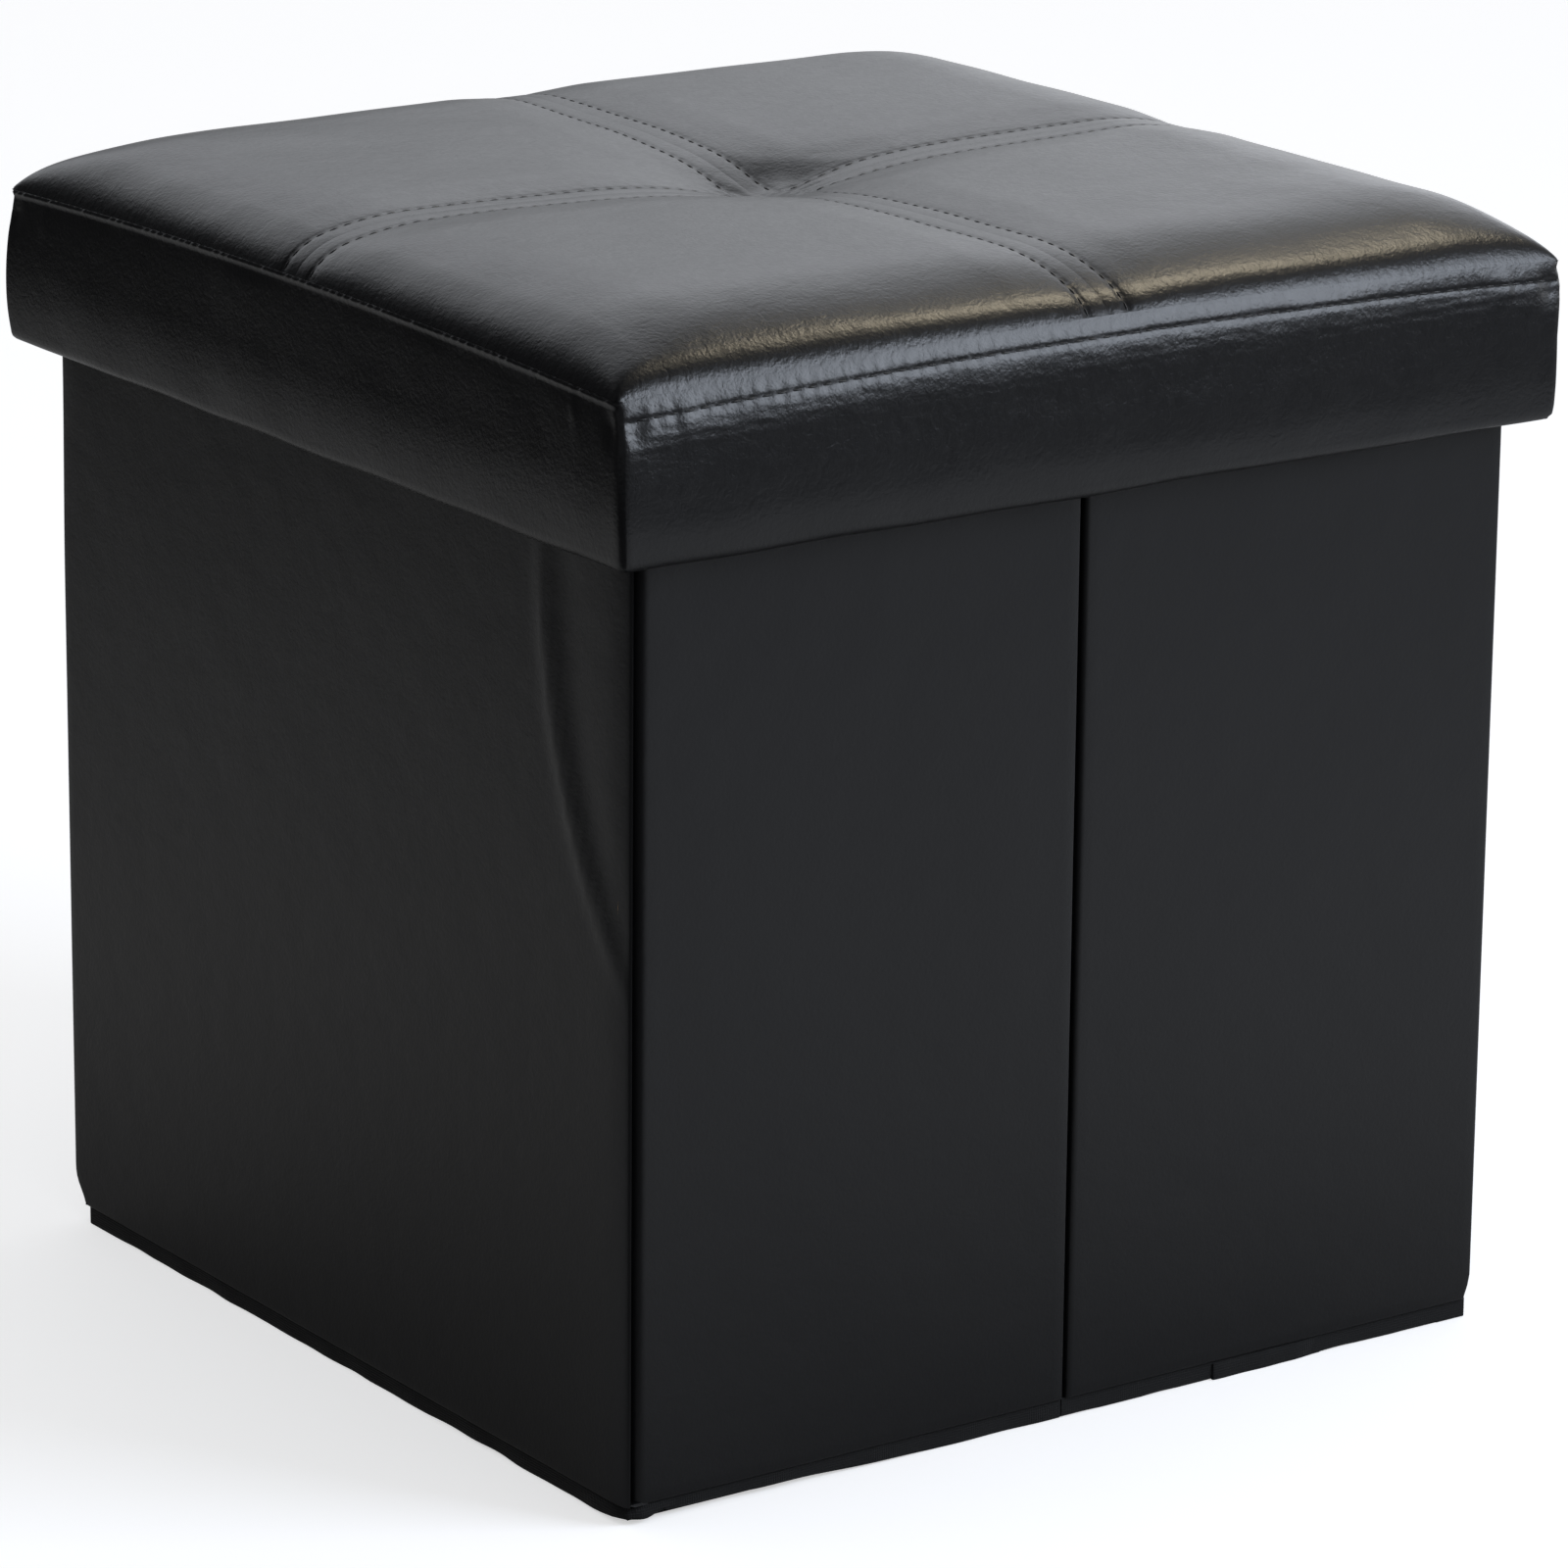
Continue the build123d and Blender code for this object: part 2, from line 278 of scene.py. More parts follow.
def table_normal(table):
    """The way a table of points faces at its middle, once it is on a grid."""
    i, j = table.shape[0] // 2, table.shape[1] // 2
    across, along = table[i + 1, j] - table[i, j], table[i, j + 1] - table[i, j]
    return Vector(across).cross(Vector(along)).normalized()


def unit_table(across, along):
    """Places from 0 to 1 over a table of that many cells each way."""
    return np.meshgrid(np.linspace(0, 1, across + 1), np.linspace(0, 1, along + 1), indexing="ij")


# ---- materials -----------------------------------------------------------------------
def add_node(tree, kind, inputs=None, **settings):
    """Add a node with its settings, and give its inputs their values or links. A node that is
    given as an input is linked by its first output."""
    node = tree.nodes.new(kind)
    for key, value in settings.items():
        setattr(node, key, value)
    for key, value in (inputs or {}).items():
        if isinstance(value, bpy.types.Node):
            value = value.outputs[0]
        if isinstance(value, bpy.types.NodeSocket):
            tree.links.new(value, node.inputs[key])
        else:
            node.inputs[key].default_value = value
    return node


def start_material(name):
    """An empty material, its tree, and its Object coordinates."""
    material = bpy.data.materials.new(name)
    material.use_nodes = True
    tree = material.node_tree
    tree.nodes.clear()
    place = add_node(tree, "ShaderNodeTexCoord").outputs["Object"]
    return material, tree, place


def close_material(tree, reliefs, inputs):
    """Close a material with a Principled shader over its reliefs, each a height from 0 to 1 and
    its depth in metres."""
    normal = {}
    for height, depth in reliefs:
        relief = {"Height": height, "Distance": depth, "Strength": 1.0, **normal}
        normal = {"Normal": add_node(tree, "ShaderNodeBump", relief)}
    shader = add_node(tree, "ShaderNodeBsdfPrincipled", {**inputs, **normal})
    add_node(tree, "ShaderNodeOutputMaterial", {"Surface": shader})


def toned(colour, factor):
    """A colour made darker or paler."""
    return [c * factor for c in colour[:3]] + [1.0]


def leatherette(name, colour, roughness, pebble, grain_depth):
    """Polyurethane-coated cloth, embossed with a fine pebble and calendered to a satin gloss.
    It gives broad soft reflections that break into speckle where light glances off it."""
    material, tree, place = start_material(name)
    cells = add_node(tree, "ShaderNodeTexVoronoi", {"Vector": place, "Scale": 1 / pebble},
                     feature="SMOOTH_F1")
    # Creasing of the coating, drawn wider than the real hairlines so that it shows
    crease = add_node(tree, "ShaderNodeTexNoise",
                      {"Vector": place, "Scale": 1 / (4.5 * MM), "Detail": 4.0, "Distortion": 1.2})
    # Slight unevenness of the cloth and foam under the coating
    under = add_node(tree, "ShaderNodeTexNoise",
                     {"Vector": place, "Scale": 1 / (22 * MM), "Detail": 2.0})
    # Fine grain that breaks up a hard reflection
    grain = add_node(tree, "ShaderNodeTexNoise",
                     {"Vector": place, "Scale": 1 / (1.6 * MM), "Detail": 2.0, "Roughness": 0.6})
    raised = add_node(tree, "ShaderNodeMapRange", {"Value": cells, "To Min": 0.9, "To Max": 0.1})
    base = add_node(tree, "ShaderNodeMix", {0: raised, 6: toned(colour, 0.72), 7: colour},
                    data_type="RGBA").outputs[2]
    rough = add_node(tree, "ShaderNodeMapRange",
                     {"Value": crease, "To Min": roughness - 0.05, "To Max": roughness + 0.05})
    reliefs = ((under, 0.35 * MM), (crease, 3 * grain_depth), (grain, 3 * grain_depth),
               (cells, grain_depth))
    close_material(tree, reliefs, {"Base Color": base, "Roughness": rough, "IOR": 1.5})
    return material


def spunbond(name, colour):
    """Non-woven polypropylene, thermally bonded in a grid of tiny dots.
    It gives a dull, faintly fibrous cloth with a regular pinpoint emboss."""
    material, tree, place = start_material(name)
    fibres = add_node(tree, "ShaderNodeTexNoise",
                      {"Vector": place, "Scale": 1 / (0.7 * MM), "Detail": 6.0, "Distortion": 2.0})
    # Bond points are 0.8 mm apart and drawn at 1.6 mm so that they show
    dots = add_node(tree, "ShaderNodeTexVoronoi",
                    {"Vector": place, "Scale": 1 / (1.6 * MM), "Randomness": 0.1})
    cloud = add_node(tree, "ShaderNodeTexNoise",
                     {"Vector": place, "Scale": 1 / (14 * MM), "Detail": 3.0})
    base = add_node(tree, "ShaderNodeMix", {0: cloud, 6: colour, 7: toned(colour, 1.7)},
                    data_type="RGBA").outputs[2]
    close_material(tree, ((dots, 0.12 * MM), (fibres, 0.08 * MM)),
                   {"Base Color": base, "Roughness": 0.88, "IOR": 1.49, "Sheen Weight": 0.25,
                    "Sheen Roughness": 0.5})
    return material


def woven_tape(name, colour, rib):
    """Polyester tape or webbing, woven with ribs across its length.
    It gives a matte narrow cloth whose ribs catch light in fine lines."""
    material, tree, place = start_material(name)
    # A wave of scale 1 repeats every 0.314 units
    ribs = [add_node(tree, "ShaderNodeTexWave",
                     {"Vector": place, "Scale": 0.314 / rib, "Distortion": 0.6, "Detail": 1.0},
                     bands_direction=axis).outputs["Fac"] for axis in "XYZ"]
    cross = add_node(tree, "ShaderNodeMath", {0: ribs[0], 1: ribs[1]}, operation="MULTIPLY")
    weave = add_node(tree, "ShaderNodeMath", {0: cross, 1: ribs[2]}, operation="ADD")
    fuzz = add_node(tree, "ShaderNodeTexNoise",
                    {"Vector": place, "Scale": 1 / (0.9 * MM), "Detail": 5.0})
    base = add_node(tree, "ShaderNodeMix", {0: fuzz, 6: colour, 7: toned(colour, 1.8)},
                    data_type="RGBA").outputs[2]
    close_material(tree, ((weave, 0.10 * MM), (fuzz, 0.10 * MM)),
                   {"Base Color": base, "Roughness": 0.85, "IOR": 1.45, "Sheen Weight": 0.1,
                    "Sheen Roughness": 0.4})
    return material


def spun_thread(name, colour):
    """Bonded polyester sewing thread, three plies twisted and waxed.
    It gives a dark cord with a small oily glint on each ply."""
    material, tree, place = start_material(name)
    twist = add_node(tree, "ShaderNodeTexNoise",
                     {"Vector": place, "Scale": 1 / (0.5 * MM), "Detail": 2.0})
    base = add_node(tree, "ShaderNodeMix", {0: twist, 6: colour, 7: toned(colour, 2.0)},
                    data_type="RGBA").outputs[2]
    close_material(tree, ((twist, 0.12 * MM),), {"Base Color": base, "Roughness": 0.5, "IOR": 1.55})
    return material


def pressed_board(name, colour):
    """Medium-density fibreboard, sawn and left bare.
    It gives a flat tan face flecked with darker fibres."""
    material, tree, place = start_material(name)
    fibres = add_node(tree, "ShaderNodeTexNoise",
                      {"Vector": place, "Scale": 1 / (1.4 * MM), "Detail": 7.0, "Roughness": 0.7,
                       "Distortion": 1.5})
    patches = add_node(tree, "ShaderNodeTexNoise",
                       {"Vector": place, "Scale": 1 / (18 * MM), "Detail": 2.0})
    flecked = add_node(tree, "ShaderNodeMix", {0: fibres, 6: toned(colour, 0.55), 7: colour},
                       data_type="RGBA").outputs[2]
    bare = add_node(tree, "ShaderNodeMapRange", {"Value": patches, "To Min": 0.0, "To Max": 0.4})
    base = add_node(tree, "ShaderNodeMix", {0: bare, 6: flecked, 7: colour},
                    data_type="RGBA").outputs[2]
    close_material(tree, ((fibres, 0.15 * MM),), {"Base Color": base, "Roughness": 0.82, "IOR": 1.5})
    return material


def open_foam(name, colour):
    """Flexible polyurethane foam, cut from a slab.
    It gives a cream face of open cells with painted shade in their pits, yellowed in patches."""
    material, tree, place = start_material(name)
    cells = add_node(tree, "ShaderNodeTexVoronoi", {"Vector": place, "Scale": 1 / (1.1 * MM)})
    age = add_node(tree, "ShaderNodeTexNoise",
                   {"Vector": place, "Scale": 1 / (30 * MM), "Detail": 2.0})
    # Painted shade: each open cell is darker towards its sunken middle
    pit_shade = add_node(tree, "ShaderNodeMix", {0: cells, 6: toned(colour, 0.7), 7: colour},
                      data_type="RGBA").outputs[2]
    yellowed = add_node(tree, "ShaderNodeMapRange", {"Value": age, "To Min": 0.0, "To Max": 0.3})
    base = add_node(tree, "ShaderNodeMix", {0: yellowed, 6: pit_shade, 7: linear("#d2b878")},
                    data_type="RGBA").outputs[2]
    close_material(tree, ((cells, 0.5 * MM),), {"Base Color": base, "Roughness": 0.95, "IOR": 1.5})
    return material


def galvanised(name, colour):
    """Galvanised steel wire, drawn and bent into staples.
    It gives a cool grey glint with lengthwise drawing marks."""
    material, tree, place = start_material(name)
    marks = add_node(tree, "ShaderNodeTexNoise",
                     {"Vector": place, "Scale": 1 / (0.8 * MM), "Detail": 3.0})
    base = add_node(tree, "ShaderNodeMix", {0: marks, 6: toned(colour, 0.7), 7: colour},
                    data_type="RGBA").outputs[2]
    rough = add_node(tree, "ShaderNodeMapRange", {"Value": marks, "To Min": 0.28, "To Max": 0.45})
    close_material(tree, ((marks, 0.02 * MM),),
                   {"Base Color": base, "Roughness": rough, "Metallic": 1.0})
    return material


def moulded_nylon(name, colour):
    """Natural nylon, injection moulded.
    It gives a milky disc with a soft gloss."""
    material, tree, place = start_material(name)
    flow = add_node(tree, "ShaderNodeTexNoise",
                    {"Vector": place, "Scale": 1 / (5 * MM), "Detail": 2.0})
    base = add_node(tree, "ShaderNodeMix", {0: flow, 6: toned(colour, 0.88), 7: colour},
                    data_type="RGBA").outputs[2]
    close_material(tree, ((flow, 0.03 * MM),), {"Base Color": base, "Roughness": 0.42, "IOR": 1.53})
    return material


# Each finish by its short name, once it is mixed
FINISHES = {}


def dress(piece, finish):
    """Give a piece its finish."""
    piece.data.materials.clear()
    piece.data.materials.append(FINISHES[finish])
    return piece


# ---- settings ------------------------------------------------------------------------
def size(label, text, millimetres, least=0.0):
    """A length property, given in millimetres and held in metres."""
    return FloatProperty(name=label, description=text, default=millimetres * MM, min=least * MM,
                         unit="LENGTH", precision=5)


def tint(label, text, code):
    """A colour property with an sRGB hex default."""
    return FloatVectorProperty(name=label, description=text, default=linear(code)[:3], size=3,
                               min=0.0, max=1.0, subtype="COLOR")


def share(label, text, value, top=1.0):
    """A plain number from 0 to top."""
    return FloatProperty(name=label, description=text, default=value, min=0.0, max=top)


class OttomanFinishes(bpy.types.PropertyGroup):
    """Colours and surface of every material."""
    leather: tint("Leatherette", "Coating of the covers", "#0d0d0f")
    lining: tint("Lining", "Non-woven cloth inside", "#17171a")
    tape: tint("Hem tape", "Binding round the foot", "#09090a")
    webbing: tint("Webbing", "Pull tab of the base flap", "#1c1c1f")
    thread: tint("Thread", "Topstitching and tuft thread", "#0a0a0b")
    board: tint("Fibreboard", "Panels inside the covers", "#a8865c")
    foam: tint("Foam", "Cushion inside the lid", "#e6d8ae")
    steel: tint("Staples", "Wire of the rim staples", "#b4b8bc")
    nylon: tint("Washer", "Washer behind the tuft", "#dcd8cc")
    lid_roughness: share("Lid roughness", "Surface roughness of the lid's leatherette", 0.30)
    box_roughness: share("Box roughness", "Surface roughness of the walls' leatherette", 0.38)
    pebble: size("Pebble", "Spacing of the embossed pebble", 1.0)
    grain_depth: size("Grain depth", "Depth of the embossed pebble", 0.035)


class OttomanLid(bpy.types.PropertyGroup):
    """Shape of the cushioned lid."""
    shoulder: size("Shoulder", "Width of the curve from the edge to the crown", 50)
    edge_radius: size("Edge radius", "Tighter arc where the top leaves its seam", 24)
    edge_slope: FloatProperty(name="Edge slope", description="Tilt of the top where it leaves its seam",
                              default=math.radians(66), subtype="ANGLE")
    corner_fullness: share("Corner fullness", "How full the crown stays towards its corners", 1.2, 4.0)
    seam_bow: size("Seam bow", "How far the edge seam rises between its corners", 4.6)
    seam_inset: size("Seam inset", "How far the edge seam is pulled in", -0.3, -10)
    side_swell: size("Side swell", "How far each side swells in the middle", 0.6)
    strip_half: size("Strip half width", "Cross seam to its topstitch row", 8)
    strip_dip: size("Strip dip", "How far the cover sags towards the cross seams", 1.6)
    strip_depth: size("Strip depth", "How far the cross strips lie below the quarters", 0.4)
    tuft_depth: size("Tuft depth", "Depth of the middle tuft below the crown", 11.4)
    tuft_reach: size("Tuft reach", "How far the tuft pulls the cover down", 30)
    slack: size("Slack", "Height of the quarters before the cloth is inflated", 1.6)
    give: share("Give", "Share of the inflated cloth's shape that its foam allows", 0.25)
    skin: size("Skin", "Thickness of the lid's leatherette", 0.8)
    bead: size("Bead", "Edge seam to the topstitch row on the bands", 6.5)
    stitch: size("Stitch pitch", "From one topstitch to the next", 5.8)
    thread: size("Thread", "Diameter of the topstitch thread", 0.85)
    pitch: size("Mesh pitch", "Spacing of the lid's mesh", 1.34)


class OttomanBox(bpy.types.PropertyGroup):
    """Shape of the creased box."""
    curl: size("Curl", "Where a side wall's cover starts to turn in to its groove", 12)
    tuck: size("Tuck", "How far a side wall's cover stops short behind its neighbour's edge", 2.0)
    crease: size("Crease", "From the middle to the left half's edge at the crease", 0.2)
    top_radius: size("Top radius", "Top edges of the panels", 1.8)
    cover: size("Cover", "Thickness of the wall covers", 1.0)
    unevenness: size("Unevenness", "Height of the covers' slow waves", 0.22)
    buckle_height: size("Buckle height", "Height of the loose fold on the left wall", 1.7)
    buckle_width: size("Buckle width", "Half width of that fold", 4.5)
    hem_wave: size("Hem wave", "Unevenness of the hem tape", 0.35)
    hem_lift: size("Hem lift", "How far the hem stands off the floor towards the left of the front", 2.2)
    hem_turn: size("Hem turn", "Radius of the hem round the near corner", 6.5)
    lap_start: size("Lap start", "From the crease to the tape's free end", 65)
    lap: size("Lap", "Length of doubled tape", 48)


class OttomanStudio(bpy.types.PropertyGroup):
    """Camera and light."""
    azimuth: FloatProperty(name="Azimuth", description="Camera's turn round the ottoman",
                           default=math.radians(-34.90), subtype="ANGLE")
    elevation: FloatProperty(name="Elevation", description="Camera's height above the horizon",
                             default=math.radians(16.27), subtype="ANGLE")
    roll: FloatProperty(name="Roll", description="Camera's tilt about its line of sight",
                        default=math.radians(0.51), subtype="ANGLE")
    distance: size("Distance", "Camera to the ottoman's middle", 2584.4)
    lens: FloatProperty(name="Lens", description="Focal length on a 36 mm sensor", default=169.2,
                        min=1, unit="CAMERA")
    floor: tint("Floor", "Pale studio floor", "#e4e5e8")
    key_power: FloatProperty(name="Key lamp", description="Large cool lamp at the front right",
                             default=21.0, min=0, unit="POWER")
    warm_power: FloatProperty(name="Warm lamp", description="Small warm lamp above the right side",
                              default=6.0, min=0, unit="POWER")
    ambient: share("Ambient", "Even light from all round", 0.55, 4.0)
    backdrop: share("Backdrop", "Brightness of the white backdrop in reflections", 0.95, 4.0)


# ---- stage ---------------------------------------------------------------------------
def set_camera(studio):
    """Camera turned round the ottoman, lifted above the horizon, and rolled about its sight."""
    camera = bpy.data.objects.new("camera", bpy.data.cameras.new("camera"))
    bpy.context.scene.collection.objects.link(camera)
    bpy.context.scene.camera = camera
    turn, lift, roll = studio.azimuth, studio.elevation, studio.roll
    level = math.cos(lift)
    back = Vector((math.sin(turn) * level, -math.cos(turn) * level, math.sin(lift)))
    side = Vector((0, 0, 1)).cross(back).normalized()
    up = back.cross(side)
    right = math.cos(roll) * side + math.sin(roll) * up
    upright = math.cos(roll) * up - math.sin(roll) * side
    # The point that the camera turns about, close to the ottoman's own middle
    middle = Vector((-0.0002, -0.0007, 0.1876))
    place = Matrix((right, upright, back)).transposed().to_4x4()
    place.translation = middle + back * studio.distance
    camera.matrix_world = place
    camera.data.lens = studio.lens
    camera.data.shift_x, camera.data.shift_y = 0.0106, -0.0125
    camera.data.clip_end = 50


def add_lamp(name, towards, distance, width, power, colour, aim):
    """A square area lamp that far away in a direction, turned to face a point."""
    lamp = bpy.data.lights.new(name, "AREA")
    lamp.shape, lamp.size, lamp.energy, lamp.color = "SQUARE", width, power, linear(colour)[:3]
    holder = bpy.data.objects.new(name, lamp)
    bpy.context.scene.collection.objects.link(holder)
    away = Vector(towards).normalized()
    holder.location = Vector(aim) + away * distance
    holder.rotation_euler = away.to_track_quat("Z", "Y").to_euler()
    return holder


def lobe(tree, heading, middle, wide, narrow, strength):
    """Brightness round a direction: none where its cosine is wide, full where it is narrow."""
    facing = add_node(tree, "ShaderNodeVectorMath", {0: heading, 1: middle}, operation="DOT_PRODUCT")
    return add_node(tree, "ShaderNodeMapRange",
                    {"Value": facing.outputs["Value"], "From Min": wide, "From Max": narrow,
                     "To Min": 0.0, "To Max": strength}, interpolation_type="SMOOTHSTEP")


def build_surround(studio):
    """Studio surround: white to the eye, an even light on cloth, and white backdrops low behind
    the ottoman and at its front right in reflections, under a darker ceiling."""
    world = bpy.data.worlds.new("studio_surround")
    bpy.context.scene.world = world
    world.use_nodes = True
    tree = world.node_tree
    tree.nodes.clear()
    seen = add_node(tree, "ShaderNodeTexCoord").outputs["Generated"]
    height = add_node(tree, "ShaderNodeSeparateXYZ", {0: seen}).outputs["Z"]
    level = add_node(tree, "ShaderNodeVectorMath", {0: seen, 1: (1, 1, 0)}, operation="MULTIPLY")
    heading = add_node(tree, "ShaderNodeVectorMath", {0: level}, operation="NORMALIZE")

    # The walls behind, at the right and at the left: heading in degrees, cosines where each ends
    # and is full, strength
    walls = []
    for turn, wide, narrow, strength in ((10, 0.60, 0.87, 1.55), (-60, 0.45, 0.90, 0.34),
                                         (-150, 0.60, 0.95, 0.20)):
        middle = (math.cos(math.radians(turn)), math.sin(math.radians(turn)), 0)
        walls.append(lobe(tree, heading, middle, wide, narrow, strength))
    far_fade = add_node(tree, "ShaderNodeMapRange", {
        "Value": height, "From Min": 0.0, "From Max": 0.55, "To Min": 1.45, "To Max": 0.1})
    near_fade = add_node(tree, "ShaderNodeMapRange", {
        "Value": height, "From Min": 0.40, "From Max": 0.80, "To Min": 0.8, "To Max": 0.08})
    far = add_node(tree, "ShaderNodeMath", {0: walls[0], 1: far_fade}, operation="MULTIPLY")
    near = add_node(tree, "ShaderNodeMath", {0: walls[1], 1: walls[2]}, operation="MAXIMUM")
    near = add_node(tree, "ShaderNodeMath", {0: near, 1: 0.05}, operation="MAXIMUM")
    near = add_node(tree, "ShaderNodeMath", {0: near, 1: near_fade}, operation="MULTIPLY")
    backdrop = add_node(tree, "ShaderNodeMath", {0: far, 1: near}, operation="ADD")
    # Two round diffusers hung high behind the ottoman
    for middle, wide, narrow, strength in (((0.217, 0.810, 0.545), 0.82, 0.98, 1.15),
                                           ((0.553, 0.595, 0.583), 0.93, 0.985, 0.42)):
        diffuser = lobe(tree, seen, middle, wide, narrow, strength)
        backdrop = add_node(tree, "ShaderNodeMath", {0: backdrop, 1: diffuser}, operation="ADD")
    strength = add_node(tree, "ShaderNodeMath", {0: backdrop, 1: studio.backdrop},
                        operation="MULTIPLY")

    rays = add_node(tree, "ShaderNodeLightPath").outputs
    reflected = add_node(tree, "ShaderNodeBackground",
                         {"Color": linear("#f6f9ff"), "Strength": strength})
    even = add_node(tree, "ShaderNodeBackground",
                    {"Color": linear("#ffffff"), "Strength": studio.ambient})
    white = add_node(tree, "ShaderNodeBackground", {"Color": (1, 1, 1, 1), "Strength": 1.0})
    lit = add_node(tree, "ShaderNodeMixShader", {0: rays["Is Glossy Ray"], 1: even, 2: reflected})
    through = add_node(tree, "ShaderNodeMath",
                       {0: rays["Is Camera Ray"], 1: rays["Is Transmission Ray"]},
                       operation="MAXIMUM")
    whole = add_node(tree, "ShaderNodeMixShader", {0: through, 1: lit, 2: white})
    add_node(tree, "ShaderNodeOutputWorld", {"Surface": whole})


def floor_paint(colour):
    """Matte white paper sweep. The camera sees it fade to the backdrop's white and keep the
    ottoman's shadow. In reflections it is a sheet with painted shade that ends in the dark, a
    painted shadow at the ottoman's foot, and a painted glow far behind it."""
    material, tree, place = start_material("matte_paper_sweep")
    tooth = add_node(tree, "ShaderNodeTexNoise",
                     {"Vector": place, "Scale": 1 / (3 * MM), "Detail": 3.0})
    relief = add_node(tree, "ShaderNodeBump",
                      {"Height": tooth, "Distance": 0.05 * MM, "Strength": 1.0})
    paper = add_node(tree, "ShaderNodeBsdfPrincipled", {
        "Base Color": colour, "Roughness": 0.9, "Normal": relief, "Specular IOR Level": 0.1})
    glow = add_node(tree, "ShaderNodeEmission", {"Color": (1, 1, 1, 1), "Strength": 0.52})
    sweep = add_node(tree, "ShaderNodeAddShader", {0: paper, 1: glow})

    reach = add_node(tree, "ShaderNodeVectorMath", {0: place}, operation="LENGTH").outputs["Value"]
    x, y = add_node(tree, "ShaderNodeSeparateXYZ", {0: place}).outputs[:2]
    side = add_node(tree, "ShaderNodeMath", {0: x, 1: y}, operation="MAXIMUM")
    behind = add_node(tree, "ShaderNodeMath", {0: x, 1: y}, operation="MINIMUM")
    # Painted shade: the sheet darkens far off, with a painted shadow at the ottoman's foot, and most of
    # all on the camera's side
    grey = 1.0
    for place_value, start, end, grey_start, grey_end, blending in (
            (reach, 0.40, 2.4, 0.60, 0.03, "SMOOTHSTEP"), (reach, 0.22, 0.55, 0.55, 1.0, "LINEAR"),
            (side, -0.32, -0.10, 0.12, 1.0, "SMOOTHSTEP")):
        fade = add_node(tree, "ShaderNodeMapRange", {
            "Value": place_value, "From Min": start, "From Max": end, "To Min": grey_start,
            "To Max": grey_end}, interpolation_type=blending)
        grey = add_node(tree, "ShaderNodeMath", {0: grey, 1: fade}, operation="MULTIPLY")
    shade = add_node(tree, "ShaderNodeCombineColor", {0: grey, 1: grey, 2: grey})
    matte = add_node(tree, "ShaderNodeBsdfDiffuse", {"Color": shade})
    # Painted light: the sheet glows far behind the ottoman, in reflections and to other rays
    far_glow = add_node(tree, "ShaderNodeMapRange",
                        {"Value": behind, "From Min": 0.4, "From Max": 1.5, "To Max": 0.6})
    painted_glow = add_node(tree, "ShaderNodeEmission", {"Strength": far_glow})
    painted_light_sheet = add_node(tree, "ShaderNodeAddShader", {0: matte, 1: painted_glow})
    rays = add_node(tree, "ShaderNodeLightPath").outputs
    whole = add_node(tree, "ShaderNodeMixShader", {0: rays["Is Camera Ray"], 1: painted_light_sheet, 2: sweep})
    add_node(tree, "ShaderNodeOutputMaterial", {"Surface": whole})
    return material


class OTTOMAN_OT_stage(bpy.types.Operator):
    """Set the camera, the lamps, the surround and the floor"""
    bl_idname = "ottoman.stage"
    bl_label = "Set the stage"

    def execute(self, context):
        studio = context.scene.ottoman_studio
        context.scene.view_settings.view_transform = "Standard"
        set_camera(studio)
        build_surround(studio)
        top = Vector((0, 0, CROWN_Z))
        key = add_lamp("key_softbox", (0.58, -0.75, 0.42), 1.9, 1.0, studio.key_power, "#e8f1ff", top)
        warm = add_lamp("warm_lamp", (0.61, 0.08, 0.79), 1.9, 0.46, studio.warm_power, "#fff1d4", top)
        warm.visible_diffuse = False
        key.visible_camera = warm.visible_camera = False

        deselect_all()
        bpy.ops.mesh.primitive_grid_add(x_subdivisions=24, y_subdivisions=24, size=16)
        floor = take_new("studio_floor")
        floor.data.materials.append(floor_paint((*studio.floor, 1.0)))
        return {"FINISHED"}


class OTTOMAN_OT_finishes(bpy.types.Operator):
    """Mix every finish and give the frame's own parts theirs"""
    bl_idname = "ottoman.finishes"
    bl_label = "Mix the finishes"

    def execute(self, context):
        f = context.scene.ottoman_finishes
        FINISHES.clear()
        FINISHES.update({
            "lid_leather": leatherette("satin_leatherette", (*f.leather, 1.0), f.lid_roughness,
                                       f.pebble, f.grain_depth),
            "box_leather": leatherette("dull_leatherette", (*f.leather, 1.0), f.box_roughness,
                                       f.pebble, 0.6 * f.grain_depth),
            "lining": spunbond("spunbond_lining", (*f.lining, 1.0)),
            "tape": woven_tape("polyester_binding_tape", (*f.tape, 1.0), rib=0.9 * MM),
            "webbing": woven_tape("ribbed_webbing", (*f.webbing, 1.0), rib=1.6 * MM),
            "thread": spun_thread("bonded_thread", (*f.thread, 1.0)),
            "board": pressed_board("sawn_fibreboard", (*f.board, 1.0)),
            "foam": open_foam("slab_foam", (*f.foam, 1.0)),
            "steel": galvanised("galvanised_wire", (*f.steel, 1.0)),
            "nylon": moulded_nylon("natural_nylon", (*f.nylon, 1.0)),
        })
        # The first word that a node's name holds says its finish
        kinds = (("_board", "board"), ("lid_rail", "board"), ("staples", "steel"), ("washer", "nylon"),
                 ("thread", "thread"), ("foam", "foam"), ("lining", "lining"), ("cloth", "lining"),
                 ("wrap", "lining"), ("tape", "tape"), ("hem", "tape"), ("tab", "webbing"))
        for name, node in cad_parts.items():
            finish = next((kind for word, kind in kinds if word in name), "box_leather")
            node.data.materials.clear()
            node.data.materials.append(FINISHES[finish])
        return {"FINISHED"}


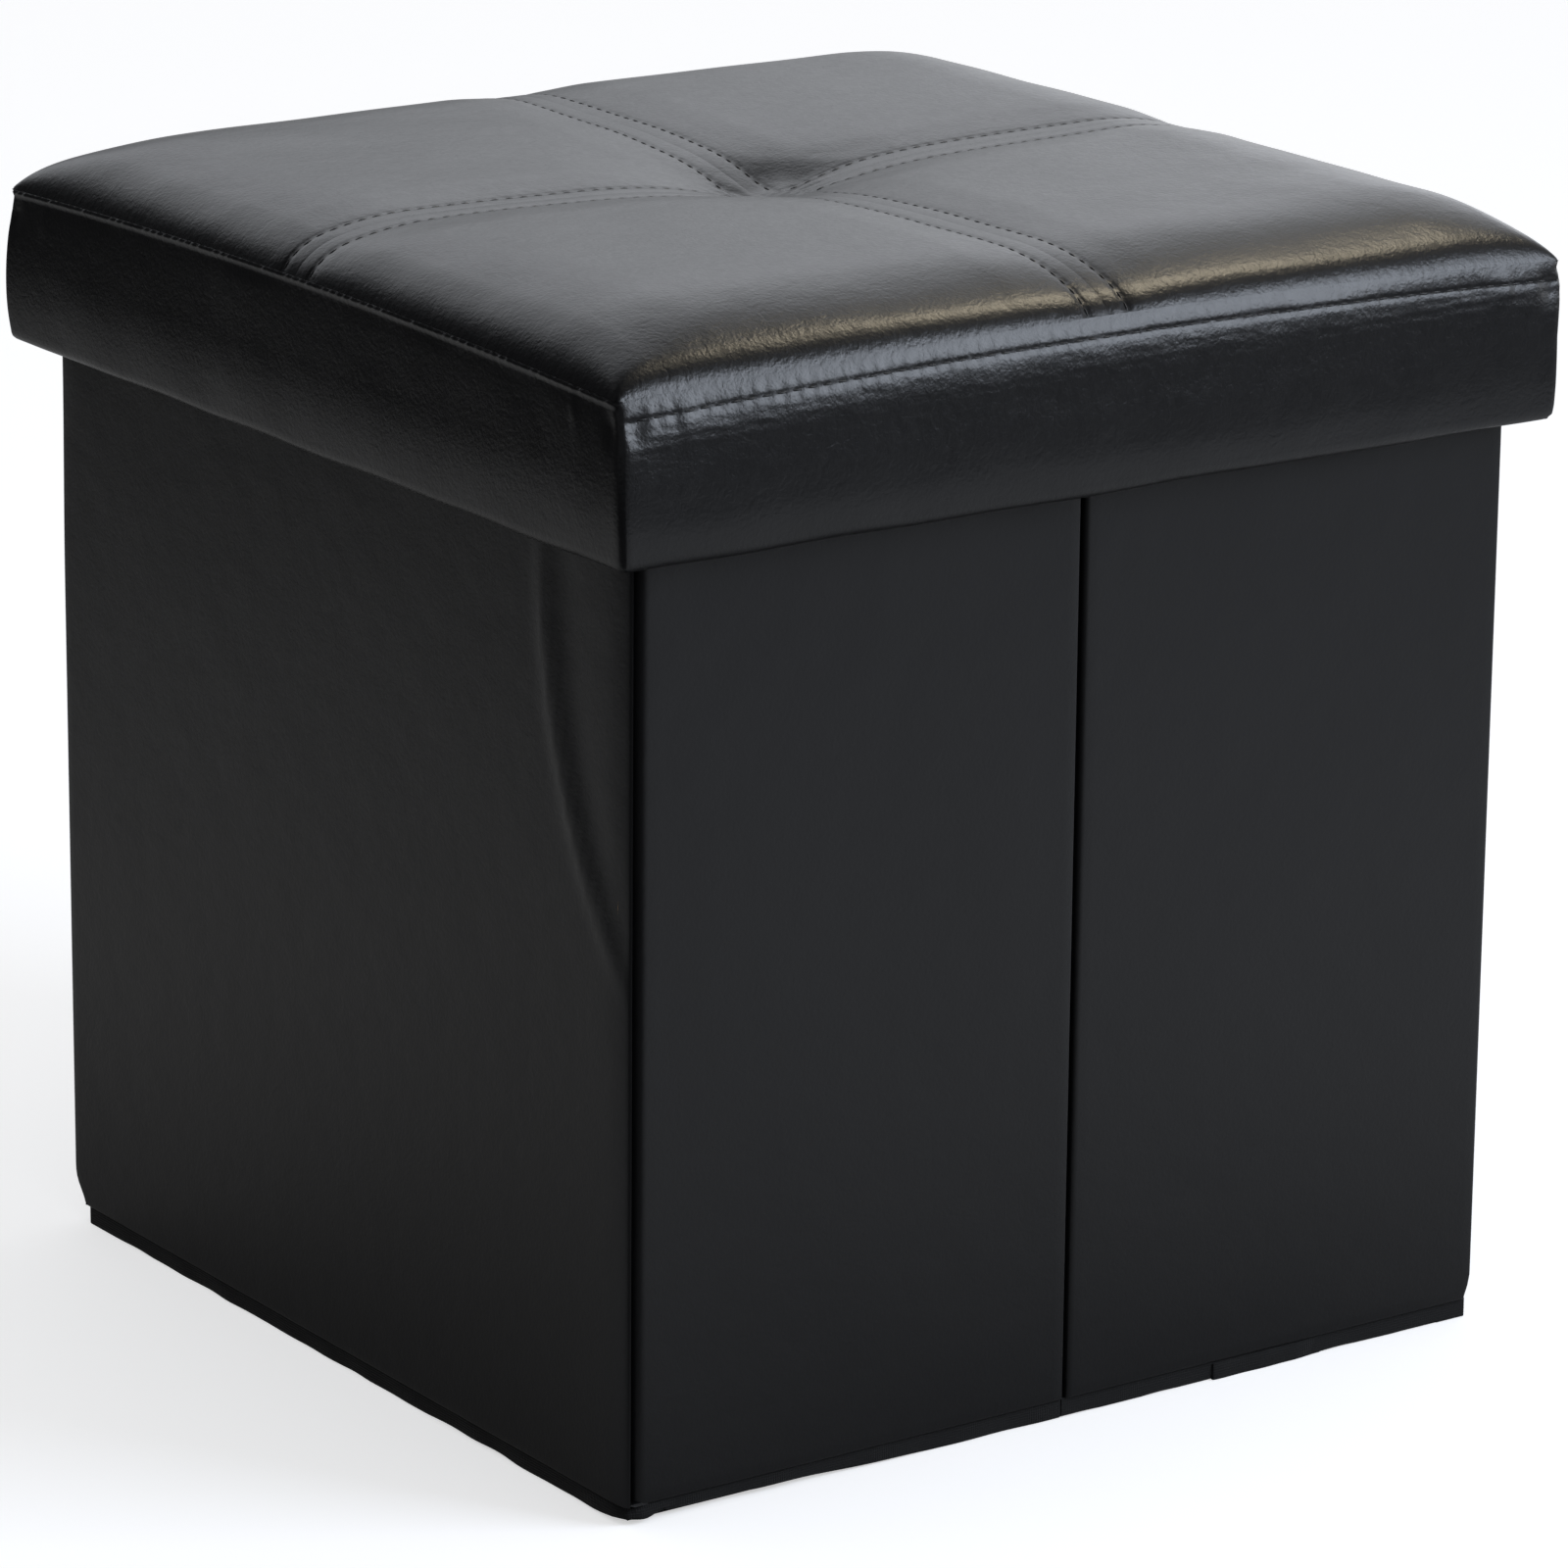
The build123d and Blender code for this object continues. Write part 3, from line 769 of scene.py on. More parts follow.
# ---- cushion -------------------------------------------------------------------------
def crown_profile(distance, lid, plain_side=False):
    """Height above the edge seam, by distance in from it: a tight arc that starts at the seam's
    slope, then a wide one that levels out at the shoulder. Sides without topstitch are fuller."""
    rise, shoulder, tight_r, slope = CROWN_Z - SEAM_Z, lid.shoulder, lid.edge_radius, lid.edge_slope
    if plain_side:
        tight_r, slope = tight_r + 3 * MM, slope + math.radians(5)
    left_over = rise - tight_r * (1 - math.cos(slope))
    span = shoulder - tight_r * math.sin(slope)
    wide_r = (span ** 2 + left_over ** 2) / (2 * left_over) + tight_r
    turn = math.asin(span / (wide_r - tight_r))
    change = tight_r * (math.sin(slope) - math.sin(turn))
    sine = math.sin(slope) - np.minimum(distance, change) / tight_r
    tight = tight_r * (np.sqrt(1 - sine ** 2) - math.cos(slope))
    out = shoulder - np.minimum(distance, shoulder)
    wide = rise - wide_r + np.sqrt(wide_r ** 2 - out ** 2)
    return np.where(distance < change, tight, wide)


def edge_spacing(lid):
    """Plan places across the lid whose distance apart over the crown is even, with a place on
    each topstitch row, and each place's distance over the crown from the middle."""
    distance = np.linspace(0, LID_HALF, 4001)
    height = crown_profile(distance, lid)
    run = np.concatenate([[0], np.cumsum(np.hypot(np.diff(distance), np.diff(height)))])
    cells = 4 * round(run[-1] / (4 * lid.pitch))
    over = np.linspace(0, run[-1], cells + 1)
    place = LID_HALF - np.interp(run[-1] - over, run, distance)
    return np.concatenate([-place[:0:-1], place]), np.concatenate([-over[:0:-1], over])


def edge_seam_rise(along, lid):
    """How far the edge seam stands above its corners, by place along a side."""
    return lid.seam_bow * (1 - (along / LID_HALF) ** 2)


def side_reach(along, lid):
    """How far out the edge seam lies, by place along a side."""
    return LID_HALF - lid.seam_inset + lid.side_swell * (1 - (along / LID_HALF) ** 2)


def cushion_form(x, y, lid):
    """The lid's top without its seams: crown, bowed edges, tuft. x and y are plan places."""
    rise = CROWN_Z - SEAM_Z
    fullness = lid.corner_fullness
    share_x = np.clip(crown_profile(LID_HALF - np.abs(x), lid, True) / rise, 1e-4, 1)
    share_y = np.clip(crown_profile(LID_HALF - np.abs(y), lid) / rise, 1e-4, 1)
    up = (share_x ** -fullness + share_y ** -fullness - 1) ** (-1 / fullness)
    u, v = x / LID_HALF, y / LID_HALF
    bow = lid.seam_bow * ((1 - u ** 2) * v ** 2 + (1 - v ** 2) * u ** 2)
    z = SEAM_Z + bow + (rise - bow) * up
    # The strips lie a little lower than the quarters, and the tuft, whose pull is a little off
    # the middle, draws everything round it down: steeply close to it and in a wide shallow dish
    away = np.minimum(np.abs(x), np.abs(y))
    reach = np.hypot(x + 2 * MM, y - 6 * MM)
    dish_depth, dish_reach = 3.2 * MM, 75 * MM
    sag = 1 - ramp(away, lid.strip_half, lid.strip_half + 24 * MM)
    z -= lid.strip_dip * up * sag * ramp(reach, 0, 60 * MM)
    z -= lid.tuft_depth * np.exp(-(reach / lid.tuft_reach) ** 1.5)
    z -= dish_depth * np.exp(-(reach / dish_reach) ** 1.3)
    # A fold across the back right quarter where the tuft pulls hardest
    fold = (1 - ramp(x + y, 28 * MM, 52 * MM)) * ramp(x, 1 * MM, 14 * MM) * ramp(y, 1 * MM, 14 * MM)
    z -= 1.5 * MM * fold
    return np.stack([u * side_reach(y, lid), v * side_reach(x, lid), z], axis=-1)


def quarter_swell(x, y, lid):
    """1 in the middle of each quarter and 0 on every seam."""
    swell = 1
    for away in (np.abs(x), np.abs(y)):
        swell = swell * ramp(away, lid.strip_half, 0.4 * LID_HALF)
        swell = swell * ramp(LID_HALF - away, 0, 0.25 * LID_HALF)
    return swell


def inflate(points, pinned):
    """Blow the sewn cover up as cloth over its foam and return how far each point moves."""
    cloth = add_grid("cover_in_simulation", points.shape[0] - 1, points.shape[1] - 1)
    places = grid_places(cloth, points)
    set_points(cloth, points[places])
    sewn = cloth.vertex_groups.new(name="sewn")
    for index in np.flatnonzero(pinned[places]):
        sewn.add([int(index)], 1.0, "REPLACE")
    leather = cloth.modifiers.new("cover", "CLOTH").settings
    leather.quality = 6
    leather.mass = 0.35
    leather.tension_stiffness = leather.compression_stiffness = 18
    leather.shear_stiffness = 8
    leather.bending_stiffness = 0.6
    leather.use_pressure = True
    leather.uniform_pressure_force = 4
    leather.vertex_group_mass = "sewn"
    leather.effector_weights.gravity = 0
    frames = 20
    for step in range(1, frames + 1):
        bpy.context.scene.frame_set(step)
    blown = cloth.evaluated_get(bpy.context.evaluated_depsgraph_get())
    after = np.zeros(len(blown.data.vertices) * 3)
    blown.data.vertices.foreach_get("co", after)
    moved = np.zeros_like(points)
    moved[places] = after.reshape(-1, 3) - points[places]
    # Even out the mesh's own pattern
    for _ in range(2):
        for axis in (0, 1):
            shifted = np.roll(moved, 1, axis) + np.roll(moved, -1, axis)
            moved = 0.5 * moved + 0.25 * shifted
    bpy.data.objects.remove(cloth)
    bpy.context.scene.frame_set(1)
    return moved


def refine(table, old_places, new_places):
    """A table of points read at more places, straight between its own, then eased."""
    rows = np.array([[np.interp(new_places, old_places, table[i, :, k]) for k in range(3)]
                     for i in range(table.shape[0])])
    both = np.array([[np.interp(new_places, old_places, rows[:, k, j]) for k in range(3)]
                     for j in range(rows.shape[2])])
    fine = np.moveaxis(both, (0, 1, 2), (1, 2, 0))
    for _ in range(3):
        padded = np.pad(fine, ((2, 2), (2, 2), (0, 0)), mode="edge")
        fine = (padded[1:-3, 2:-2] + padded[3:-1, 2:-2] + padded[2:-2, 1:-3] + padded[2:-2, 3:-1]
                + 2 * fine) / 6
    return fine


def surface_normals(points):
    """Upward normals of a table of points."""
    across = np.gradient(points, axis=0)
    along = np.gradient(points, axis=1)
    normal = np.cross(across, along)
    return normal / np.linalg.norm(normal, axis=-1, keepdims=True)


def seam_relief(lid, across, over_along):
    """Height of one cross seam's strip: its centre seam, its two topstitch rows and its puckers,
    by plan distance from the seam and by the run of thread along it."""
    away = np.abs(across)
    beat = np.cos(2 * math.pi * over_along / lid.stitch)
    uneven = 1 + 0.5 * ripple(over_along, across, 45 * MM, 11)
    sunk = -lid.strip_depth * (1 - ramp(away, lid.strip_half - 1 * MM, lid.strip_half + 7 * MM))
    puff = 0.04 * MM * ridge(away - lid.strip_half / 2, 2.6 * MM) * (1 + 0.2 * beat * uneven)
    centre = -0.13 * MM * ridge(away, 0.7 * MM)
    row = -0.6 * MM * ridge(away - lid.strip_half, 1.0 * MM) * (0.75 - 0.25 * beat)
    pucker = 0.05 * MM * beat * uneven * ridge(away - lid.strip_half - 2.2 * MM, 2.0 * MM)
    return sunk + puff + centre + row - pucker


def cushion_surface(lid, inflated):
    """The finished top of the cushion as a table of points, with its normals and spacing."""
    places, over = edge_spacing(lid)
    x, y = np.meshgrid(places, places, indexing="ij")
    form = cushion_form(x, y, lid)
    if inflated:
        coarse = places[::4]
        cx, cy = np.meshgrid(coarse, coarse, indexing="ij")
        start = cushion_form(cx, cy, lid)
        start[..., 2] -= lid.slack * quarter_swell(cx, cy, lid)
        edge = LID_HALF - np.maximum(np.abs(cx), np.abs(cy)) < 0.5 * MM
        strips = np.minimum(np.abs(cx), np.abs(cy)) < lid.strip_half + 1 * MM
        moved = inflate(start, edge | strips)
        moved[..., 2] -= lid.slack * quarter_swell(cx, cy, lid)
        form += lid.give * refine(moved, coarse, places)
    normal = surface_normals(form)

    over_x, over_y = np.meshgrid(over, over, indexing="ij")
    relief = np.minimum(seam_relief(lid, x, over_y), seam_relief(lid, y, over_x))
    middle = np.hypot(x, y)
    relief *= ramp(middle, 2 * MM, 14 * MM)
    edge_run = over[-1] - np.maximum(np.abs(over_x), np.abs(over_y))
    running = np.where(np.abs(over_x) > np.abs(over_y), over_y, over_x)
    beat = np.cos(2 * math.pi * running / (0.8 * lid.stitch))
    puckers = 0.04 * MM * beat * ridge(edge_run - 1.6 * MM, 2.2 * MM)
    relief += puckers * (1 + 0.5 * ripple(x, y, 40 * MM, 5))
    # Slow unevenness of the foam
    relief += 0.22 * MM * ripple(x, y, 46 * MM, 21) * ramp(edge_run, 2 * MM, 20 * MM)
    # Fine creases that run in to the tuft
    spokes = np.sin(9 * np.arctan2(y, x) + 1.1 * np.sin(3 * np.arctan2(y, x)))
    relief += 0.35 * MM * spokes * ridge(middle - 16 * MM, 9 * MM)
    form += normal * relief[..., None]
    return form, surface_normals(form), over


# The cushion's finished top, kept for the stitching
SURFACE = {}


class OTTOMAN_OT_cushion(bpy.types.Operator):
    """Blow up the four quarter covers over the foam"""
    bl_idname = "ottoman.cushion"
    bl_label = "Cushion and covers"

    def execute(self, context):
        lid = context.scene.ottoman_lid
        points, normals, over = cushion_surface(lid, inflated=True)
        SURFACE.update(points=points, normals=normals, over=over)
        half = (len(over) - 1) // 2
        near, far = slice(0, half + 1), slice(half, None)
        quarters = {"front_left": (near, near), "front_right": (far, near),
                    "back_left": (near, far), "back_right": (far, far)}
        for corner, (across, along) in quarters.items():
            piece = add_sheet("cushion_cover_" + corner, points[across, along], lid.skin)
            smooth(piece, 60)
            dress(piece, "lid_leather")
            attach(piece, "lid")
            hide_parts("top_cover_" + corner)
        self.build_foam(lid, points[::4, ::4], normals[::4, ::4])
        self.build_cord(lid, points[half, half])
        return {"FINISHED"}

    def build_cord(self, lid, tuft):
        """The two-ply cord that holds the tuft down to its washer."""
        low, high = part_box("tuft_thread")
        top = tuft[2] - 0.3 * lid.skin
        deselect_all()
        bpy.ops.mesh.primitive_cylinder_add(vertices=16, radius=(high.x - low.x) / 2, depth=top - low.z,
                                            location=(0, 0, (top + low.z) / 2))
        cord = take_new("tuft_cord")
        cut_long_edges(cord, 2, 5 * MM, 40)
        points = points_of(cord)
        turn = np.arctan2(points[:, 1], points[:, 0])
        lay = 5 * MM
        plies = 0.84 + 0.16 * np.cos(2 * turn - 2 * math.pi * points[:, 2] / lay)
        points[:, :2] *= plies[:, None]
        set_points(cord, points)
        smooth(cord, 60)
        dress(cord, "thread")
        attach(cord, "lid")
        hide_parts("tuft_thread")

    def build_foam(self, lid, points, normals):
        """The slab under the covers, drawn down to the board."""
        gap = lid.skin + 0.6 * MM
        top = points - gap * normals
        top[..., :2] *= (LID_HALF - 2.6 * MM) / LID_HALF
        foam = add_sheet("foam_slab", top)
        edit_select(foam, "faces", lambda f: True)
        bpy.ops.mesh.extrude_region_move(TRANSFORM_OT_translate={"value": (0, 0, 0)})
        floor_z = BOARD_TOP + 0.1 * MM
        bpy.ops.transform.resize(value=(1, 1, 0), center_override=(0, 0, floor_z))
        bpy.ops.mesh.select_all(action="SELECT")
        bpy.ops.mesh.normals_make_consistent(inside=False)
        leave_edit()
        smooth(foam, 50)
        dress(foam, "foam")
        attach(foam, "lid")
        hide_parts("lid_foam")


# ---- bands round the lid -------------------------------------------------------------
# Side, quarter turns from the front, whether it is topstitched, seed, lean in degrees
BANDS = (
    ("front", 0, True, 31, 0),
    ("right", 1, False, 41, 11),
    ("back", 2, True, 51, 0),
    ("left", 3, False, 61, 0),
)


def band_profile(lid, stitched, lean):
    """Heights, swell and share of the seam's bow down a band, from its seam to its turned-in edge.
    Swell is outwards from the lid's side, and follows the tilt of the surface on its way down.
    Lean is how many degrees steeper than the loosest band a plain band's upper half stands."""
    radius = 4.6 * MM
    swell = -lid.seam_inset
    rows = [(SEAM_Z - 1.8 * MM, swell - 2.2 * MM, 1.0), (SEAM_Z - 0.5 * MM, swell - 0.9 * MM, 1.0)]
    step = 0.8 * MM
    for z in np.arange(SEAM_Z, LID_BOTTOM + radius, -step):
        down = SEAM_Z - z
        below = down - lid.bead
        if stitched and below < 0:
            tilt = 60 + 17 * down / lid.bead
        elif stitched:
            tilt = 68 + 16 * min(1, below / (9 * MM)) + 5 * float(ramp(below, 10 * MM, 30 * MM))
            tilt += 10 * float(ramp(below, 28 * MM, 43 * MM))
        else:
            tuck_under = np.clip((down - 11 * MM) / (38 * MM), 0, 1) ** 1.4
            tilt = 79 if lean and down < 7 * MM else 83.5 + lean + (14.5 - lean) * tuck_under
        # The cover's rolled edge at a plain side, and the board that holds every band out
        rolled = 0.9 * MM * math.exp(-((down - 0.9 * MM) / (0.9 * MM)) ** 2) * (not stitched)
        least = 0.15 * MM if z < BOARD_TOP + 2 * MM else -1
        rows.append((z, max(swell + rolled, least),
                     float(ramp(z, BOARD_TOP - 8 * MM, SEAM_Z - lid.bead))))
        swell += step / math.tan(math.radians(tilt))
    base = rows[-1][1]
    for turn in np.linspace(0, math.pi / 2, 6)[1:]:
        rows.append((LID_BOTTOM + radius * (1 - math.sin(turn)),
                     base + radius * (math.cos(turn) - 1), 0.0))
    lip = LIP_REACH - LID_HALF
    inner = base - radius
    for part in (0.33, 0.66, 0.92):
        rows.append((LID_BOTTOM, inner + (lip - inner) * part, 0.0))
    rows.append((LID_BOTTOM + 0.3 * MM, lip + 0.05 * MM, 0.0))
    turned_top = LID_BOTTOM + 14.8 * MM
    for z in np.linspace(LID_BOTTOM + 1.2 * MM, turned_top, 9):
        rows.append((z, lip, 0.0))
    return rows


def band_relief(lid, stitched, seed, x, z, down, end):
    """How far a band's face stands off its profile: slow waves, the seams' puckers and the seam
    allowances bunched near its ends. Down is from its seam and end from its nearer end."""
    calm = ramp(end, 2 * MM, 26 * MM)
    relief = 0.30 * MM * ripple(x, z, 60 * MM, seed) * calm * ramp(down, 0, 8 * MM)
    relief = np.maximum(relief, -0.1 * MM)
    relief += lid.side_swell * (1 - (x / LID_HALF) ** 2) * ramp(-down, -24 * MM, 0)
    if stitched:
        beat = np.cos(2 * math.pi * x / lid.stitch)
        uneven = 1 + 0.55 * ripple(x, z, 30 * MM, seed + 1)
        relief -= 0.40 * MM * ridge(down - lid.bead, 0.8 * MM) * (0.70 - 0.30 * beat)
        relief += 0.09 * MM * beat * uneven * ridge(down - lid.bead + 2.6 * MM, 2.0 * MM)
        relief += 0.07 * MM * beat * uneven * ridge(down - lid.bead - 2.4 * MM, 2.2 * MM)
        creases = ripple(0.4 * x, 2.2 * z, 9 * MM, seed + 2)
        relief += 0.08 * MM * creases * ridge(down - lid.bead - 5 * MM, 7 * MM)
    else:
        beat = np.cos(2 * math.pi * x / (0.8 * lid.stitch))
        relief += 0.12 * MM * beat * ridge(down - 0.8 * MM, 1.2 * MM)
    patch = ridge(end - 25 * MM, 2.2 * MM) * ridge(down - 8 * MM, 6 * MM)
    dimple = ridge(end - 5 * MM, 3.5 * MM) * ridge(down - 9 * MM, 5 * MM)
    relief += 0.4 * MM * patch - 0.9 * MM * dimple
    corner_seam = ridge(end, 1.6 * MM) * ramp(down, -1 * MM, 2 * MM)
    return relief - 0.5 * MM * corner_seam


def band_points(lid, place):
    """A band as a table of points indexed [along, down], as if it were the front one. Its ends
    reach as far as its neighbours swell, so that the four meet at the corner seams."""
    stitched, seed = BANDS[place][2:4]
    rows, before, after = (band_profile(lid, *BANDS[k % 4][2::2])
                           for k in (place, place - 1, place + 1))
    # Stitched bands are pulled tighter towards their right ends, by this share of their swell
    pulled = 0.45
    tight = pulled * BANDS[place - 1][2]
    # Rows that swell less than this are the edge that is turned in under the lid
    turned_in = -2.2 * MM
    corner_radius = 2.4 * MM
    straight = LID_HALF - corner_radius
    count = 2 * round(straight / (lid.stitch / 4))
    spots = np.linspace(-1, 1, count + 1)
    turn = np.linspace(0, math.pi / 4, 4)[1:]
    table = np.zeros((count + 1 + 2 * len(turn), len(rows), 3))
    for j, (z, swell, bow_share) in enumerate(rows):
        bend = corner_radius if swell > turned_in and z > LID_BOTTOM else 0.25 * MM
        left = LID_HALF + before[j][1] - tight * max(before[j][1], 0) - bend
        right = LID_HALF + after[j][1] - bend
        middle = 0.5 * (right - left) + 0.5 * (right + left) * spots
        x = np.concatenate([-left - bend * np.sin(turn[::-1]), middle, right + bend * np.sin(turn)])
        drawn_in = pulled * stitched * max(swell, 0) * ramp(x, 30 * MM, 180 * MM)
        reach = LID_HALF + swell - drawn_in - bend
        y = -reach - bend * np.concatenate([np.cos(turn[::-1]), np.ones(count + 1), np.cos(turn)])
        table[:, j] = np.stack([x, y, np.full_like(x, z)], axis=-1)
        table[:, j, 2] += bow_share * edge_seam_rise(x, lid)
    x, z = table[..., 0], table[..., 2]
    down = np.broadcast_to(np.array([SEAM_Z - r[0] for r in rows]), x.shape)
    outer = np.broadcast_to(np.array([float(height > LID_BOTTOM + 2 * MM and swell > turned_in)
                                      for height, swell, _ in rows]), x.shape)
    end = np.minimum(x - x.min(axis=0), x.max(axis=0) - x)
    calm = ramp(end, 2 * MM, 26 * MM)
    relief = band_relief(lid, stitched, seed, x, z, down, end) * outer
    # Push the outer face along its own level normal
    level = np.stack([np.clip(x, -straight, straight), np.full_like(x, -straight)], axis=-1)
    facing = table[..., :2] - level
    facing /= np.maximum(np.linalg.norm(facing, axis=-1, keepdims=True), 1e-9)
    table[..., :2] += facing * relief[..., None]
    sway = ripple(x, 0 * x, 80 * MM, seed + 3) * calm
    table[..., 2] += 0.35 * MM * sway * ramp(down, 40 * MM, 54 * MM)
    return table


class OTTOMAN_OT_bands(bpy.types.Operator):
    """Wrap the four bands round the lid's rails"""
    bl_idname = "ottoman.bands"
    bl_label = "Bands"

    def execute(self, context):
        lid = context.scene.ottoman_lid
        for place, (side, turns, *_) in enumerate(BANDS):
            table = turned(band_points(lid, place), turns)
            piece = add_sheet("lid_band_" + side, table[:, ::-1], lid.skin)
            smooth(piece, 60)
            dress(piece, "lid_leather")
            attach(piece, "lid")
            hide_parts("band_" + side)
        return {"FINISHED"}


# ---- walls ---------------------------------------------------------------------------
def buckle(y, z, box):
    """Height of the loose fold that runs down the left wall beside its front edge. It starts
    48 mm from the edge and swings in to 10 mm on its way down."""
    top, low = 322 * MM, 196 * MM
    down = np.clip((top - z) / (top - low), 0, 1.15)
    middle = -BOX_HALF + (48.0 - 4.0 * down - 34.0 * down ** 2.2) * MM
    rise = ramp(z, low - 35 * MM, low + 30 * MM)
    fade = rise * ramp(-z, -(BOX_HALF + 185 * MM), -(top - 30 * MM))
    crisp = ridge(y - middle, box.buckle_width)
    hollow = ridge(y - middle + 2.4 * box.buckle_width, 2.2 * box.buckle_width)
    return box.buckle_height * fade * (crisp - 0.45 * hollow)


def arc(centre, radii, start, end, steps=6):
    """Points on an ellipse from one angle to another, in degrees."""
    turns = np.radians(np.linspace(start, end, steps + 1))
    return [(centre[0] + radii[0] * math.cos(t), centre[1] + radii[1] * math.sin(t)) for t in turns]


def cover_outline(wall, box, first):
    """Plan of one wall's cover, as places along the wall and depths behind its face. The corners
    follow each other round the box: each wall's cover tucks in behind the next one's edge at one
    end and turns in to a groove at the other. First is true for the first wall of a pair, whose
    far end laps a little further. Numbers here are millimetres, and back is how deep each cover
    is folded in."""
    full, groove, crease = BOX_HALF / MM, GROOVE_END / MM, box.crease / MM
    back = 9.4
    if wall == "left":
        # The left wall's far end laps over the back wall, and the right wall's tucks in
        curl, stop = box.curl / MM, full - (-1.4 if first else box.tuck / MM)
        line = [(-full + 4.1, back), (-full + 3.8, 7.5), (-full + 3.8, 4.6), (-full + 3.7, 3.3),
                (-full + 2.4, 2.9), (-full + 1.0, 2.8)]
        line += arc((-full + curl, 2.7), (curl, 2.7), 180, 270, 8)[:-1]
        line += [(v, 0) for v in np.linspace(-full + curl, stop - 1.4, 92)]
        line += arc((stop - 1.4, 1.4), (1.4, 1.4), -90, 0, 4)[1:]
        line += [(stop, 5), (stop, back)]
    elif wall == "front_left":
        start = -full + 4.6
        line = [(-groove, back), (-groove, 6), (-groove - 0.3, 4.6), (-full + 10, 4.2),
                (start + 1.2, 4.15)]
        line += arc((start + 4, 4), (4, 4), 180, 270, 8)
        line += [(v, 0) for v in np.linspace(start + 4, -crease - 1.1, 46)[1:]]
        line += arc((-crease - 1.1, 1.1), (1.1, 1.1), -90, 0, 3)[1:]
        line += [(-crease, 5), (-crease, back)]
    else:
        stop = full + (0.2 if first else -1.2)
        line = [(crease + 1.4, back), (crease + 1.4, 5)]
        line += arc((crease + 3.6, 2.2), (2.2, 2.2), 180, 270, 5)
        line += [(v, 0) for v in np.linspace(crease + 3.6, stop - 1.7, 46)[1:]]
        line += arc((stop - 1.7, 1.7), (1.7, 1.7), -90, 0, 4)[1:]
        line += [(stop - 1.0, 1.95), (full - 7, 1.97), (groove + 0.3, 2.2), (groove, 5),
                 (groove, back)]
    return np.array(line) * MM


# Walls in pairs: the second of each is the first turned half round
WALL_PAIRS = (("left", "right"), ("front_left", "back_right"), ("front_right", "back_left"))


